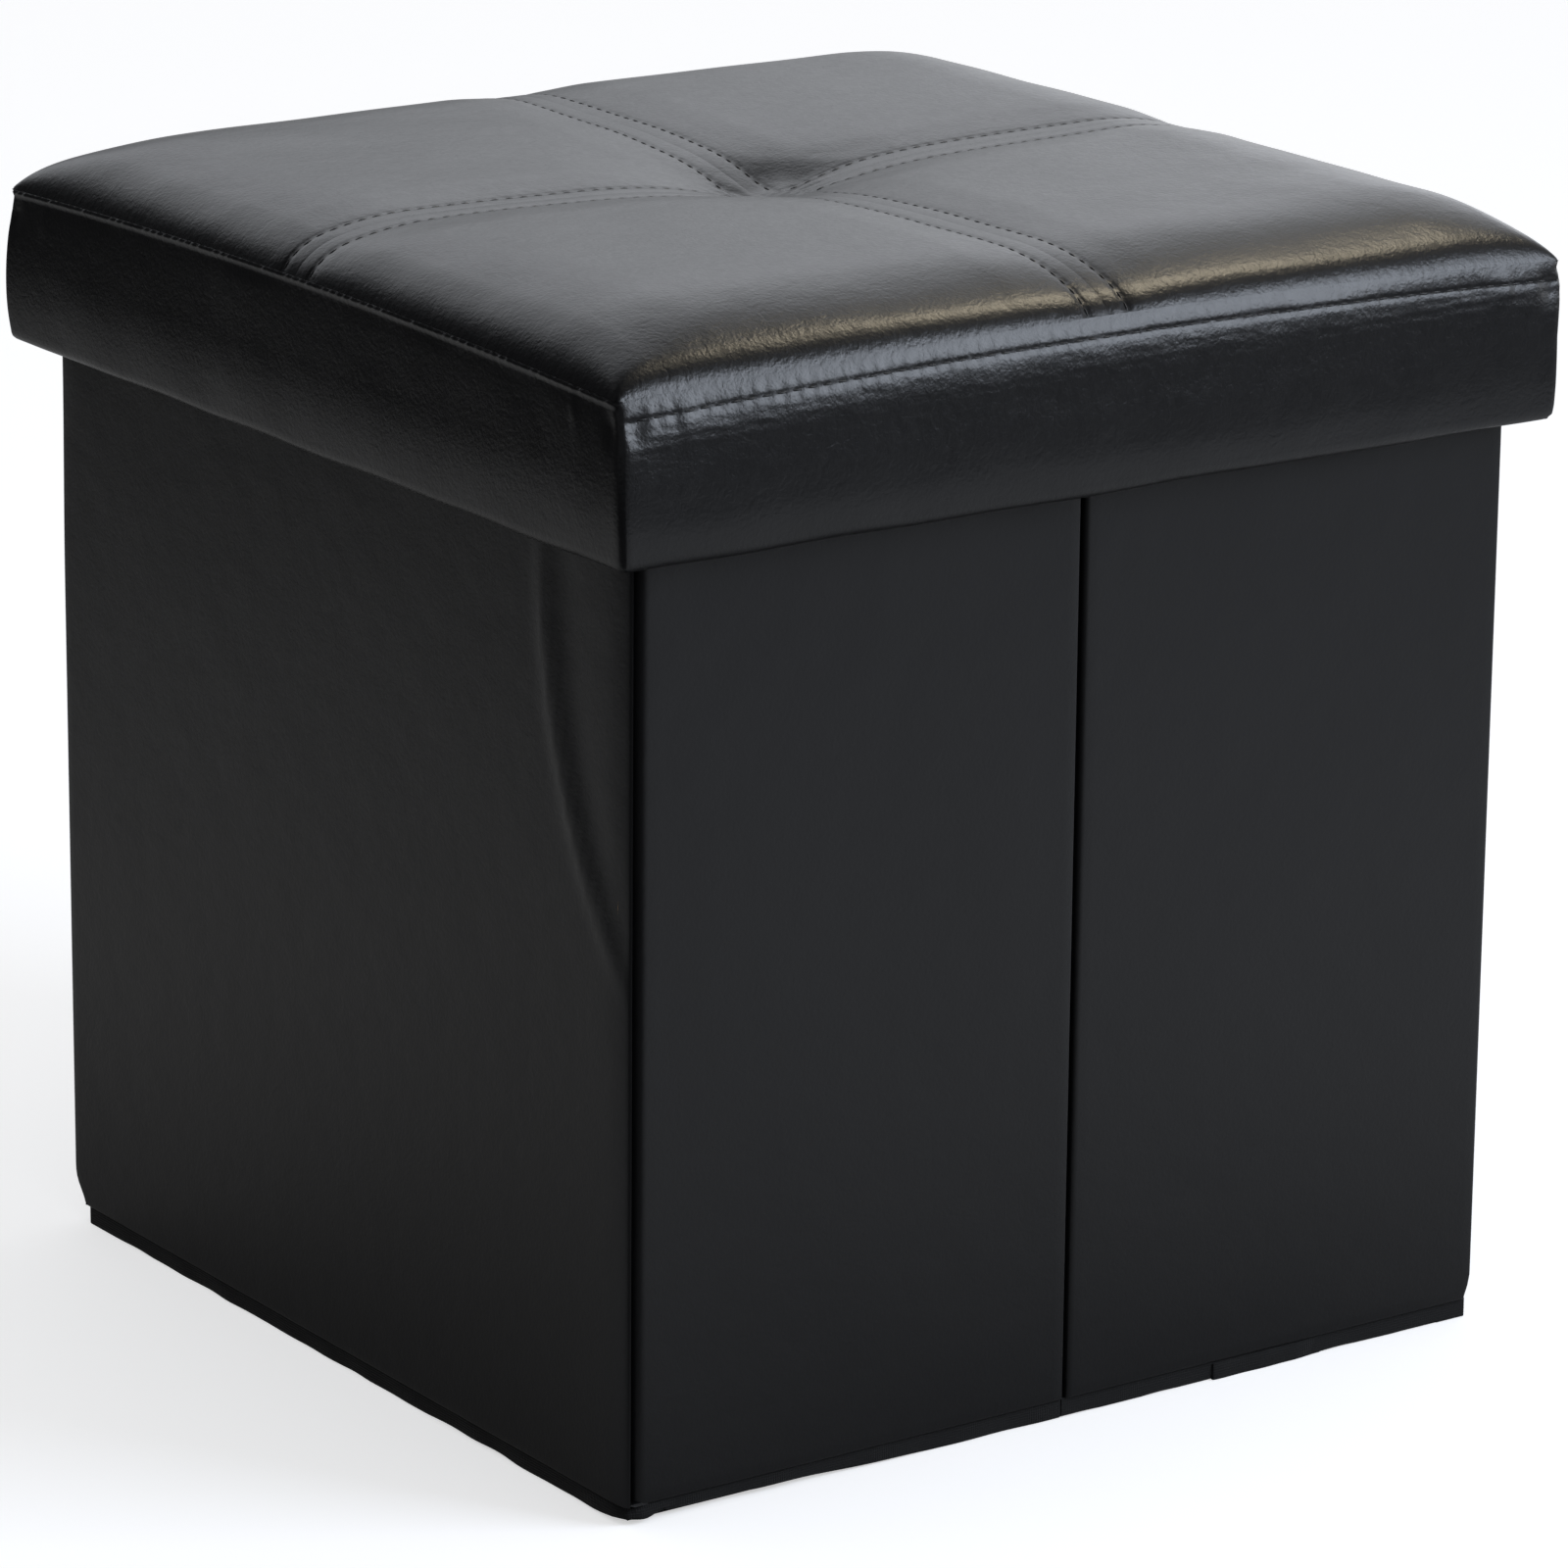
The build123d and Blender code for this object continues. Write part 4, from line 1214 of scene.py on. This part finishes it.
class OTTOMAN_OT_covers(bpy.types.Operator):
    """Cover the six wall panels"""
    bl_idname = "ottoman.covers"
    bl_label = "Wall covers"

    def execute(self, context):
        box = context.scene.ottoman_box
        for seed, pair in enumerate(WALL_PAIRS):
            for half_turns, wall in enumerate(pair):
                table = self.table(pair[0], box, 100 + 10 * seed + half_turns, first=not half_turns)
                table = turned(table, 2 * half_turns)
                if table_normal(table).dot(OUTWARD[wall]) < 0:
                    table = table[::-1]
                piece = add_sheet("wall_cover_" + wall, table, box.cover)
                low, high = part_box(wall + "_cover")
                points = points_of(piece)
                points[:, 2] = np.clip(points[:, 2], low.z, high.z)
                set_points(piece, points)
                smooth(piece, 50)
                dress(piece, "box_leather")
                if pair[0] == "front_right":
                    # Past the corner's hinge the cover is glued to the side wall
                    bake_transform(piece)
                else:
                    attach(piece, WALL_BODIES[wall])
                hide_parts(wall + "_cover")
        for wall, side in (("left", -1), ("right", 1)):
            self.board(wall, side, box)
        return {"FINISHED"}

    def table(self, wall, box, seed, first):
        """A wall cover as a table of points: its outline carried up, and closed over the board's
        top and under its foot. It is made at the place of the pair's first wall."""
        low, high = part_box(wall + "_cover")
        outline = cover_outline(wall, box, first)
        top, foot, depth = box.top_radius, 0.6 * box.top_radius, outline[0, 1]
        rows = [(low.z, depth), (low.z, depth / 2), (low.z, foot)]
        rows += [(low.z + foot * (1 - math.cos(t)), foot * (1 - math.sin(t))) for t in (0.5, 1.0)]
        rows += [(z, 0) for z in np.linspace(low.z + foot, high.z - top, 160 if wall == "left" else 90)]
        rows += [(high.z - top * (1 - math.sin(t)), top * (1 - math.cos(t))) for t in (0.5, 1.0)]
        rows += [(high.z, top), (high.z, depth / 2), (high.z, depth)]
        z = np.array([r[0] for r in rows])[None, :] + 0 * outline[:, :1]
        along = outline[:, :1] + 0 * z
        back = np.maximum(outline[:, 1:2], np.array([r[1] for r in rows])[None, :])
        ends = np.minimum(along - along.min(), along.max() - along)
        inside = ramp(ends, 2 * MM, 30 * MM) * ramp(np.minimum(z - low.z, high.z - z), 1 * MM, 22 * MM)
        wave = box.unevenness * ripple(along, z, 120 * MM, seed) * inside
        if wall == "left" and first:
            wave = wave + buckle(along, z, box)
        back = back - wave * ramp(-back, -2 * MM, -0.5 * MM)
        if wall == "left":
            # The upper end of the far edge is drawn in
            far = ramp(along, along.max() - 13 * MM, along.max()) ** 2 * ramp(z, 240 * MM, 320 * MM)
            back = back + 0.7 * MM * far * ramp(-back, -2 * MM, -0.5 * MM)
        # The foot's outer corner is rounded, most of all at the back left
        rounded = 2.4 * MM if (wall == "left") != first else 7.0 * MM
        pull = rounded * (1 - ramp(z, low.z, low.z + 9 * MM + rounded)) ** 2
        if wall != "front_left":
            along = along - pull * ramp(along, along.max() - 9 * MM, along.max())
        face = -BOX_HALF + back
        return np.stack([face, along, z] if wall == "left" else [along, face, z], axis=-1)

    def board(self, wall, side, box):
        """A side wall's board, sawn short where the covers tuck in round it."""
        low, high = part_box(wall + "_board")
        tuck = BOX_HALF - (box.tuck if wall == "right" else 0) - 1.2 * MM
        ends = sorted((side * GROOVE_SIDE, -side * tuck))
        piece = add_block("board_" + wall, (low.x, ends[0], low.z), (high.x, ends[1], high.z))
        # The foot is rounded under the cover's rounded corner
        round_edges(piece, lambda e: along_axis(e) == 0 and mid(e).z < low.z + MM
                    and abs(mid(e).y + side * tuck) < MM, 12 * MM, 5)
        round_edges(piece, lambda e: True, 0.4 * MM, 2)
        smooth(piece)
        dress(piece, "board")
        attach(piece, WALL_BODIES[wall])
        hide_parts(wall + "_board")


class OTTOMAN_OT_linings(bpy.types.Operator):
    """Line the six panels on the inside"""
    bl_idname = "ottoman.linings"
    bl_label = "Wall linings"

    def execute(self, context):
        for seed, (wall, body) in enumerate(WALL_BODIES.items()):
            low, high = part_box(wall + "_lining")
            out = OUTWARD[wall]
            level = 1 if out.x else 0
            if level:
                low.y, high.y = -GROOVE_SIDE, GROOVE_SIDE
            width, height = high[level] - low[level], high.z - low.z
            thickness = abs((high - low).dot(out))
            u, v = unit_table(round(width / (5 * MM)), round(height / (5 * MM)))
            table = np.zeros((*u.shape, 3))
            inner = min(low.dot(out), high.dot(out))
            table[..., level] = low[level] + u * width
            table[..., 2] = low.z + v * height
            inside = ramp(np.minimum(u, 1 - u) * width, 0, 12 * MM)
            inside = inside * ramp(np.minimum(v, 1 - v) * height, 0, 12 * MM)
            slack = 0.15 * MM * inside * (ripple(u * width, v * height, 70 * MM, 200 + seed) + 1)
            table[..., 1 - level] = (inner + slack) * out[1 - level]
            # The lining faces into the box
            if table_normal(table).dot(out) > 0:
                table = table[::-1]
            piece = add_sheet("wall_lining_" + wall, table, thickness - 0.05 * MM)
            smooth(piece)
            dress(piece, "lining")
            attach(piece, body)
            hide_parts(wall + "_lining")
        return {"FINISHED"}


class OTTOMAN_OT_hems(bpy.types.Operator):
    """Bind the foot of every panel with tape"""
    bl_idname = "ottoman.hems"
    bl_label = "Hem tape"

    def execute(self, context):
        box = context.scene.ottoman_box
        for seed, pair in enumerate(WALL_PAIRS):
            for half_turns, wall in enumerate(pair):
                piece = self.tape(pair[0], "hem_" + wall, far_turn=12 if half_turns else 0)
                self.wave(piece, pair[0], box, 300 + 10 * seed + half_turns)
                if wall == "front_right":
                    self.lap(piece, box)
                set_points(piece, turned(points_of(piece), 2 * half_turns))
                smooth(piece, 50)
                dress(piece, "tape")
                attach(piece, WALL_BODIES[wall])
                if wall != "left":
                    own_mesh(piece)
                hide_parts(wall + "_hem")
        return {"FINISHED"}

    def tape(self, wall, name, far_turn):
        """A length of folded tape. The side wall's turns the corner under its groove, and at its far
        end it may turn the corner too, as far as the next wall's hinge."""
        low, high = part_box(wall + "_hem")
        inner = -BOX_HALF + 5.5 * MM
        if wall == "left":
            low.y, high.y = -HEM_HALF, BOX_HALF - (1.6 if far_turn else 7.0) * MM
            piece = add_block(name, low, high)
            for side, run in ((-1, 16), (1, far_turn - 4))[:2 if far_turn else 1]:
                bend = -side * inner
                edit_select(piece, "faces", lambda f: True)
                bpy.ops.mesh.bisect(plane_co=(0, bend, 0), plane_no=(0, 1, 0))
                leave_edit()
                edit_select(piece, "faces", lambda f: f.normal.x > 0.9
                            and side * f.calc_center_median().y > side * bend)
                bpy.ops.mesh.extrude_region_move(TRANSFORM_OT_translate={"value": (run * MM, 0, 0)})
                leave_edit()
            round_edges(piece, lambda e: along_axis(e) == 0 and mid(e).y > high.y - 1e-5
                        and mid(e).z < low.z + 1e-5, 0.6 * MM, 2)
        else:
            low.y, high.y = -HEM_HALF, inner
            low.x = -BOX_HALF + 18.0 * MM if wall == "front_left" else 0.35 * MM
            high.x = -0.25 * MM if wall == "front_left" else GROOVE_END
            piece = add_block(name, low, high)
        outside = -HEM_HALF + 0.2 * MM
        round_edges(piece, lambda e: mid(e).z < low.z + 1e-5 and along_axis(e) != 2
                    and (mid(e).y < outside or (wall == "left" and mid(e).x < outside)), 1.2 * MM, 4)
        for axis in (0, 1):
            cut_long_edges(piece, axis, 40 * MM, 150)
            if wall == "left":
                cut_long_edges(piece, axis, 9 * MM, 9)
                cut_long_edges(piece, axis, 3.5 * MM, 5)
        cut_long_edges(piece, 2, 2.5 * MM, 3)
        return piece

    def wave(self, piece, wall, box, seed):
        """Uneven thickness, a foot that lifts and sags, and the bunched tape at the near corner."""
        points = points_of(piece)
        level = 1 if wall == "left" else 0
        along, z = points[:, level], points[:, 2]
        faced = ramp(-points[:, 1 - level], BOX_HALF - 4 * MM, BOX_HALF - 2.5 * MM)
        under = ramp(HEM_TOP - z, 0.3 * MM, 2.5 * MM)
        # Pieces meet flush at the corner's hinge
        calm = 1 - ramp(along, BOX_HALF - 45 * MM, BOX_HALF - 15 * MM)
        points[:, 1 - level] -= box.hem_wave * ripple(along, z, 26 * MM, seed) * under * faced * calm
        foot = ramp(HEM_TOP - z, 3 * MM, 6.5 * MM)
        lift = 0.5 * MM * np.maximum(ripple(along, 0 * along, 34 * MM, seed + 5), 0) * calm
        if wall == "front_left":
            lift = lift + box.hem_lift * ramp(-along, 60 * MM, 150 * MM)
        if wall == "left":
            # Near the corner it follows the front piece's lift
            lift = lift * ramp(along, -BOX_HALF + 12 * MM, -BOX_HALF + 40 * MM)
            corner = np.hypot(points[:, 0] + BOX_HALF, along + BOX_HALF)
            lift = lift + box.hem_lift * ridge(corner, 14 * MM)
            turned_in = ramp(points[:, 0], -BOX_HALF + 9 * MM, -BOX_HALF + 17 * MM) * (along < 0)
            lift = lift + 1.1 * box.hem_lift * turned_in
            self.turn_corner(points, box.hem_turn, under)
        points[:, 2] += foot * lift
        set_points(piece, points)

    def turn_corner(self, points, radius, under):
        """Turn the near corner from a square one into a round one about a centre inside it, with
        its tape bunched under the cover."""
        centre = -HEM_HALF + radius
        offset = np.minimum(points[:, :2] - centre, 0)
        length = np.hypot(offset[:, 0], offset[:, 1])
        rounded = np.abs(offset).max(axis=1) / np.maximum(length, 1e-9)
        corner = (points[:, 0] < centre) & (points[:, 1] < centre)
        points[:, :2] += np.where(corner[:, None], offset * (rounded - 1)[:, None], 0)
        away = np.hypot(points[:, 0] + BOX_HALF, points[:, 1] + BOX_HALF)
        bunch = 1.2 * MM * ridge(away - 4 * MM, 12 * MM) * under
        points[:, :2] -= bunch[:, None] * np.where(offset < -radius + 2.5 * MM, 1, 0)

    def lap(self, piece, box):
        """The tape's end, folded under and laid over its start."""
        ply = add_block("hem_lap", (box.lap_start, -HEM_HALF - 0.8 * MM, 0),
                        (box.lap_start + box.lap, -HEM_HALF + 0.4 * MM, HEM_TOP - 0.9 * MM))
        round_edges(ply, lambda e: mid(e).y < -HEM_HALF - 0.5 * MM or along_axis(e) == 1,
                    0.35 * MM, 2)
        cut_long_edges(ply, 0, 20 * MM, 40)
        points = points_of(ply)
        x, z = points[:, 0], points[:, 2]
        points[:, 1] += 0.22 * MM * ripple(x, z, 12 * MM, 333)
        points[:, 1] += 1.0 * MM * ramp(x, box.lap_start + 0.7 * box.lap, box.lap_start + box.lap)
        set_points(ply, points)
        pick(piece)
        ply.select_set(True)
        bpy.ops.object.join()


class OTTOMAN_OT_grooves(bpy.types.Operator):
    """Line the upright grooves at the corners and down the creases"""
    bl_idname = "ottoman.grooves"
    bl_label = "Groove strips"

    def execute(self, context):
        # The bodies at each strip's low X and high X sides; the open corner's has only one
        strips = {
            "front_crease_strip": ("front_left_half", "front_right_half"),
            "back_crease_strip": ("back_left_half", "back_right_half"),
            "front_left_gusset": ("side_wall_left", "front_left_half"),
            "front_right_gusset": ("front_right_half", "side_wall_right"),
            "back_left_gusset": ("side_wall_left", "back_left_half"),
            "back_right_gusset": None,
        }
        for node, bodies in strips.items():
            piece = self.channel(node)
            dress(piece, "box_leather")
            if bodies is None:
                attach(piece, "side_wall_right")
            else:
                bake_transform(piece)
            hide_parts(node)
        return {"FINISHED"}

    def channel(self, node):
        """A soft channel, open to the outside, with a rounded bed."""
        low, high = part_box(node)
        front = low.y < 0
        if "gusset" in node:
            set_back = 4.8 if node in ("front_left_gusset", "back_right_gusset") else 2.4
            mouth = math.copysign(BOX_HALF - set_back * MM, low.y)
            bed = high.y - 0.4 * MM if front else low.y + 0.4 * MM
        else:
            mouth, bed = (low.y, low.y + 4.2 * MM) if front else (high.y, high.y - 4.2 * MM)
            low.x, high.x = (-0.4 * MM, 2.0 * MM) if front else (-2.8 * MM, -0.4 * MM)
        half = (high.x - low.x) / 2
        profile = [(-half * wide, mouth + (bed - mouth) * deep)
                   for wide, deep in ((1, 0), (1, 0.4), (0.92, 0.75), (0.6, 0.94), (0, 1))]
        profile += [(-x, y) for x, y in profile[-2::-1]]
        z = np.linspace(low.z + 0.2 * MM, high.z, 91)
        table = np.zeros((len(profile), len(z), 3))
        for i, (x, y) in enumerate(profile):
            sway = 0.12 * MM * ripple(z, 0 * z, 60 * MM, 400 + i // 3)
            rim = i in (0, len(profile) - 1)
            depth = np.full_like(z, y) + (0 if rim else sway)
            table[i] = np.stack([np.full_like(z, (low.x + high.x) / 2 + x), depth, z], axis=-1)
        if table_normal(table).y * (-1 if front else 1) < 0:
            table = table[::-1]
        piece = add_sheet(node + "_leather", table, 0.5 * MM)
        smooth(piece, 50)
        return piece


# ---- base, tab and lid lining --------------------------------------------------------
def folded_cloth(name, low, high, open_face, radius):
    """Cloth folded over a board: a box with one face open, its folds rounded and its faces cut
    fine enough to be rumpled."""
    piece = add_block(name, low, high)
    edit_select(piece, "faces", open_face)
    bpy.ops.mesh.delete(type="FACE")
    leave_edit()
    round_edges(piece, lambda e: len(e.link_faces) == 2, radius, 3)
    for axis in (0, 1):
        cut_long_edges(piece, axis, 60 * MM, 70)
    return piece


class OTTOMAN_OT_base(bpy.types.Operator):
    """Lay the floor cloth and dress the base flap"""
    bl_idname = "ottoman.base"
    bl_label = "Floor and base flap"

    def execute(self, context):
        self.floor_cloth()
        self.wrap()
        self.tab()
        self.hinge_tape()
        return {"FINISHED"}

    def floor_cloth(self):
        """Slack cloth under the flap."""
        low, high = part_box("floor_cloth")
        width, depth = high.x - low.x, high.y - low.y
        u, v = unit_table(60, 60)
        slack = 0.12 * MM * ripple(u * width, v * depth, 50 * MM, 500)
        table = np.stack([low.x + u * width, low.y + v * depth, high.z + slack], axis=-1)
        piece = add_sheet("floor_cloth_laid", table, 0.6 * MM)
        smooth(piece)
        dress(piece, "lining")
        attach(piece, "side_wall_left")
        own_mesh(piece)
        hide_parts("floor_cloth")

    def wrap(self):
        """Non-woven cloth pulled round the hardboard."""
        low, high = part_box("base_wrap")
        piece = folded_cloth("base_flap_wrap", low, high, lambda f: f.normal.x < -0.9, 0.9 * MM)
        points = points_of(piece)
        x, y, z = points.T
        edge = np.minimum(np.minimum(x - low.x, high.x - x), np.minimum(y - low.y, high.y - y))
        inside = ramp(edge, 0, 10 * MM)
        upper = ramp(z, high.z - 0.5 * MM, high.z - 0.1 * MM)
        points[:, 2] += 0.2 * MM * inside * upper * (ripple(x, y, 60 * MM, 510) - 0.4)
        set_points(piece, points)
        thicken(piece, 0.45 * MM)
        smooth(piece)
        dress(piece, "lining")
        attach(piece, "base_flap")
        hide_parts("base_wrap")

    def tab(self):
        """Webbing pull tab, its free end rounded and a little lifted."""
        low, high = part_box("pull_tab")
        piece = add_block("webbing_tab", low, high)
        round_edges(piece, lambda e: along_axis(e) == 2 and mid(e).x < low.x + MM, 7 * MM, 6)
        round_edges(piece, lambda e: along_axis(e) != 2, 0.22 * MM, 2)
        cut_long_edges(piece, 0, 10 * MM, 24)
        points = points_of(piece)
        sewn = 12 * MM
        free = ramp(high.x - sewn - points[:, 0], 0, 30 * MM)
        points[:, 2] += 2.0 * MM * free ** 1.5
        set_points(piece, points)
        smooth(piece, 50)
        dress(piece, "webbing")
        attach(piece, "base_flap")
        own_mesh(piece)
        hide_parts("pull_tab")

    def hinge_tape(self):
        """Tape glued up the left wall and over the flap's edge."""
        low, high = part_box("base_hinge_tape")
        thickness, corner = 0.5 * MM, 2.0 * MM
        wall, floor = low.x + thickness, low.z + thickness
        profile = [(wall, z) for z in np.linspace(high.z, floor + corner, 10)]
        profile += arc((wall + corner, floor + corner), (corner, corner), 180, 270, 5)[1:]
        profile += [(x, floor) for x in np.linspace(wall + corner, high.x, 10)[1:]]
        y = np.linspace(low.y, high.y, 91)
        table = np.zeros((len(profile), len(y), 3))
        for i, (x, z) in enumerate(profile):
            wave = 0.05 * MM * ripple(y, 0 * y + i * MM, 40 * MM, 520)
            table[i] = np.stack([np.full_like(y, x), y, z + wave], axis=-1)
        if table_normal(table).x < 0:
            table = table[::-1]
        piece = add_sheet("flap_hinge_tape", table, thickness)
        smooth(piece)
        dress(piece, "tape")
        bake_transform(piece)
        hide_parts("base_hinge_tape")


class OTTOMAN_OT_lid_lining(bpy.types.Operator):
    """Line the inside of the lid"""
    bl_idname = "ottoman.lid_lining"
    bl_label = "Lid lining"

    def execute(self, context):
        low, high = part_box("lid_lining")
        piece = folded_cloth("lid_lining_cloth", low, high, lambda f: f.normal.z < -0.9, 1.2 * MM)
        points = points_of(piece)
        x, y, z = points.T
        inside = ramp(high.x - np.maximum(np.abs(x), np.abs(y)), 2 * MM, 30 * MM)
        roof = ramp(z, high.z - 0.4 * MM, high.z)
        points[:, 2] -= 0.12 * MM * inside * roof * (1 + ripple(x, y, 70 * MM, 530))
        set_points(piece, points)
        thicken(piece, 0.45 * MM)
        smooth(piece)
        dress(piece, "lining")
        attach(piece, "lid")
        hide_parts("lid_lining")
        return {"FINISHED"}


# ---- stitching -----------------------------------------------------------------------
def one_stitch(length, thickness):
    """One stitch: a grain of thread along X whose ends dive into the leather."""
    deselect_all()
    bpy.ops.mesh.primitive_uv_sphere_add(segments=6, ring_count=6, radius=0.5)
    stitch = take_new("stitch")
    stitch.rotation_euler = (0, math.pi / 2, 0)
    bpy.ops.object.transform_apply(rotation=True)
    points = points_of(stitch)
    points *= (length, thickness, thickness)
    points[:, 2] -= 0.55 * thickness * (2 * points[:, 0] / length) ** 2
    faces = [tuple(p.vertices) for p in stitch.data.polygons]
    bpy.data.objects.remove(stitch)
    return points, faces


def sew(name, places, length, thickness, body):
    """A run of stitches. Each place is a point, the way the thread runs, and the way out."""
    shape, faces = one_stitch(length, thickness)
    points, polygons = [], []
    for k, (spot, run, out) in enumerate(places):
        run = Vector(run).normalized()
        side = Vector(out).cross(run).normalized()
        out = run.cross(side)
        turn = np.array([run, side, out])
        points.append(shape @ turn + np.array(spot))
        polygons += [tuple(v + k * len(shape) for v in face) for face in faces]
    mesh = bpy.data.meshes.new(name)
    mesh.from_pydata(np.concatenate(points).tolist(), [], polygons)
    mesh.update()
    piece = bpy.data.objects.new(name, mesh)
    bpy.context.scene.collection.objects.link(piece)
    smooth(piece, 80)
    dress(piece, "thread")
    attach(piece, body)
    return piece


def sampled(table, i, j):
    """A table's value at fractional indices."""
    i0, j0 = min(int(i), table.shape[0] - 2), min(int(j), table.shape[1] - 2)
    a, b = i - i0, j - j0
    return ((1 - a) * (1 - b) * table[i0, j0] + a * (1 - b) * table[i0 + 1, j0]
            + (1 - a) * b * table[i0, j0 + 1] + a * b * table[i0 + 1, j0 + 1])


class OTTOMAN_OT_stitches(bpy.types.Operator):
    """Sew the visible thread"""
    bl_idname = "ottoman.stitches"
    bl_label = "Stitching"

    def execute(self, context):
        lid = context.scene.ottoman_lid
        self.cross_rows(lid)
        self.band_rows(lid)
        return {"FINISHED"}

    def cross_rows(self, lid):
        """Two rows along each cross seam."""
        points, normals, over = SURFACE["points"], SURFACE["normals"], SURFACE["over"]
        index = np.arange(len(over))
        count = int(over[-1] / lid.stitch)
        stitches = []
        for sign in (-1, 1):
            row = np.interp(sign * lid.strip_half, over, index)
            for k in range(-count, count):
                place = np.interp((k + 0.5) * lid.stitch, over, index)
                # The rows stop short of the tuft
                if abs((k + 0.5) * lid.stitch) < 1.5 * lid.strip_half:
                    continue
                for swap in (False, True):
                    i, j = (place, row) if swap else (row, place)
                    spot, out = sampled(points, i, j), sampled(normals, i, j)
                    ahead, aside = (1, 0) if swap else (0, 1)
                    run = (sampled(points, i + ahead, j + aside)
                           - sampled(points, i - ahead, j - aside))
                    stitches.append((spot + 0.16 * lid.thread * out, run, out))
        sew("cross_seam_thread", stitches, 0.84 * lid.stitch, lid.thread, "lid")

    def band_rows(self, lid):
        """One row under the edge seam of the front and back bands."""
        row_z = SEAM_Z - lid.bead
        count = int((LID_HALF - 4 * MM) / lid.stitch)
        stitches = []
        for place, (_, turns, stitched, *_) in enumerate(BANDS):
            if not stitched:
                continue
            table = band_points(lid, place)
            height = table[len(table) // 2, :30, 2] - edge_seam_rise(0, lid)
            down = int(np.argmin(np.abs(height - row_z)))
            x = table[:, down, 0]
            for k in range(-count, count):
                i = np.interp((k + 0.5) * lid.stitch, x, np.arange(len(x)))
                spot = sampled(table, i, down)
                run = sampled(table, i + 1, down) - sampled(table, i - 1, down)
                lifted = spot + np.array((0, -0.16 * lid.thread, 0))
                stitches.append(tuple(turned(np.array([lifted, run, (0, -1, 0)]), turns)))
        sew("band_thread", stitches, 0.84 * lid.stitch, lid.thread, "lid")


# ---- panel, registration and making --------------------------------------------------
STEPS = ("stage", "finishes", "cushion", "bands", "covers", "linings", "hems", "grooves", "base",
         "lid_lining", "stitches")
GROUPS = {
    "ottoman_finishes": OttomanFinishes,
    "ottoman_lid": OttomanLid,
    "ottoman_box": OttomanBox,
    "ottoman_studio": OttomanStudio,
}


class OTTOMAN_PT_panel(bpy.types.Panel):
    """Sizes, colours and steps of the ottoman"""
    bl_idname = "OTTOMAN_PT_panel"
    bl_label = "Storage ottoman"
    bl_space_type = "VIEW_3D"
    bl_region_type = "UI"
    bl_category = "Ottoman"

    def draw(self, context):
        for name, group in GROUPS.items():
            section = self.layout.box()
            section.label(text=group.__doc__)
            for setting in group.__annotations__:
                section.prop(getattr(context.scene, name), setting)
        for step in STEPS:
            self.layout.operator("ottoman." + step)


OPERATORS = (OTTOMAN_OT_stage, OTTOMAN_OT_finishes, OTTOMAN_OT_cushion, OTTOMAN_OT_bands,
             OTTOMAN_OT_covers, OTTOMAN_OT_linings, OTTOMAN_OT_hems, OTTOMAN_OT_grooves,
             OTTOMAN_OT_base, OTTOMAN_OT_lid_lining, OTTOMAN_OT_stitches)


def register():
    """Register the settings, the operators and the panel."""
    for name, group in GROUPS.items():
        bpy.utils.register_class(group)
        setattr(bpy.types.Scene, name, bpy.props.PointerProperty(type=group))
    for part in (*OPERATORS, OTTOMAN_PT_panel):
        bpy.utils.register_class(part)


def unregister():
    """Take them all away again."""
    for part in (OTTOMAN_PT_panel, *reversed(OPERATORS)):
        bpy.utils.unregister_class(part)
    for name, group in reversed(GROUPS.items()):
        delattr(bpy.types.Scene, name)
        bpy.utils.unregister_class(group)


def main():
    """Register, and make every piece in order."""
    register()
    for step in STEPS:
        getattr(bpy.ops.ottoman, step)()


if __name__ == "__main__":
    main()
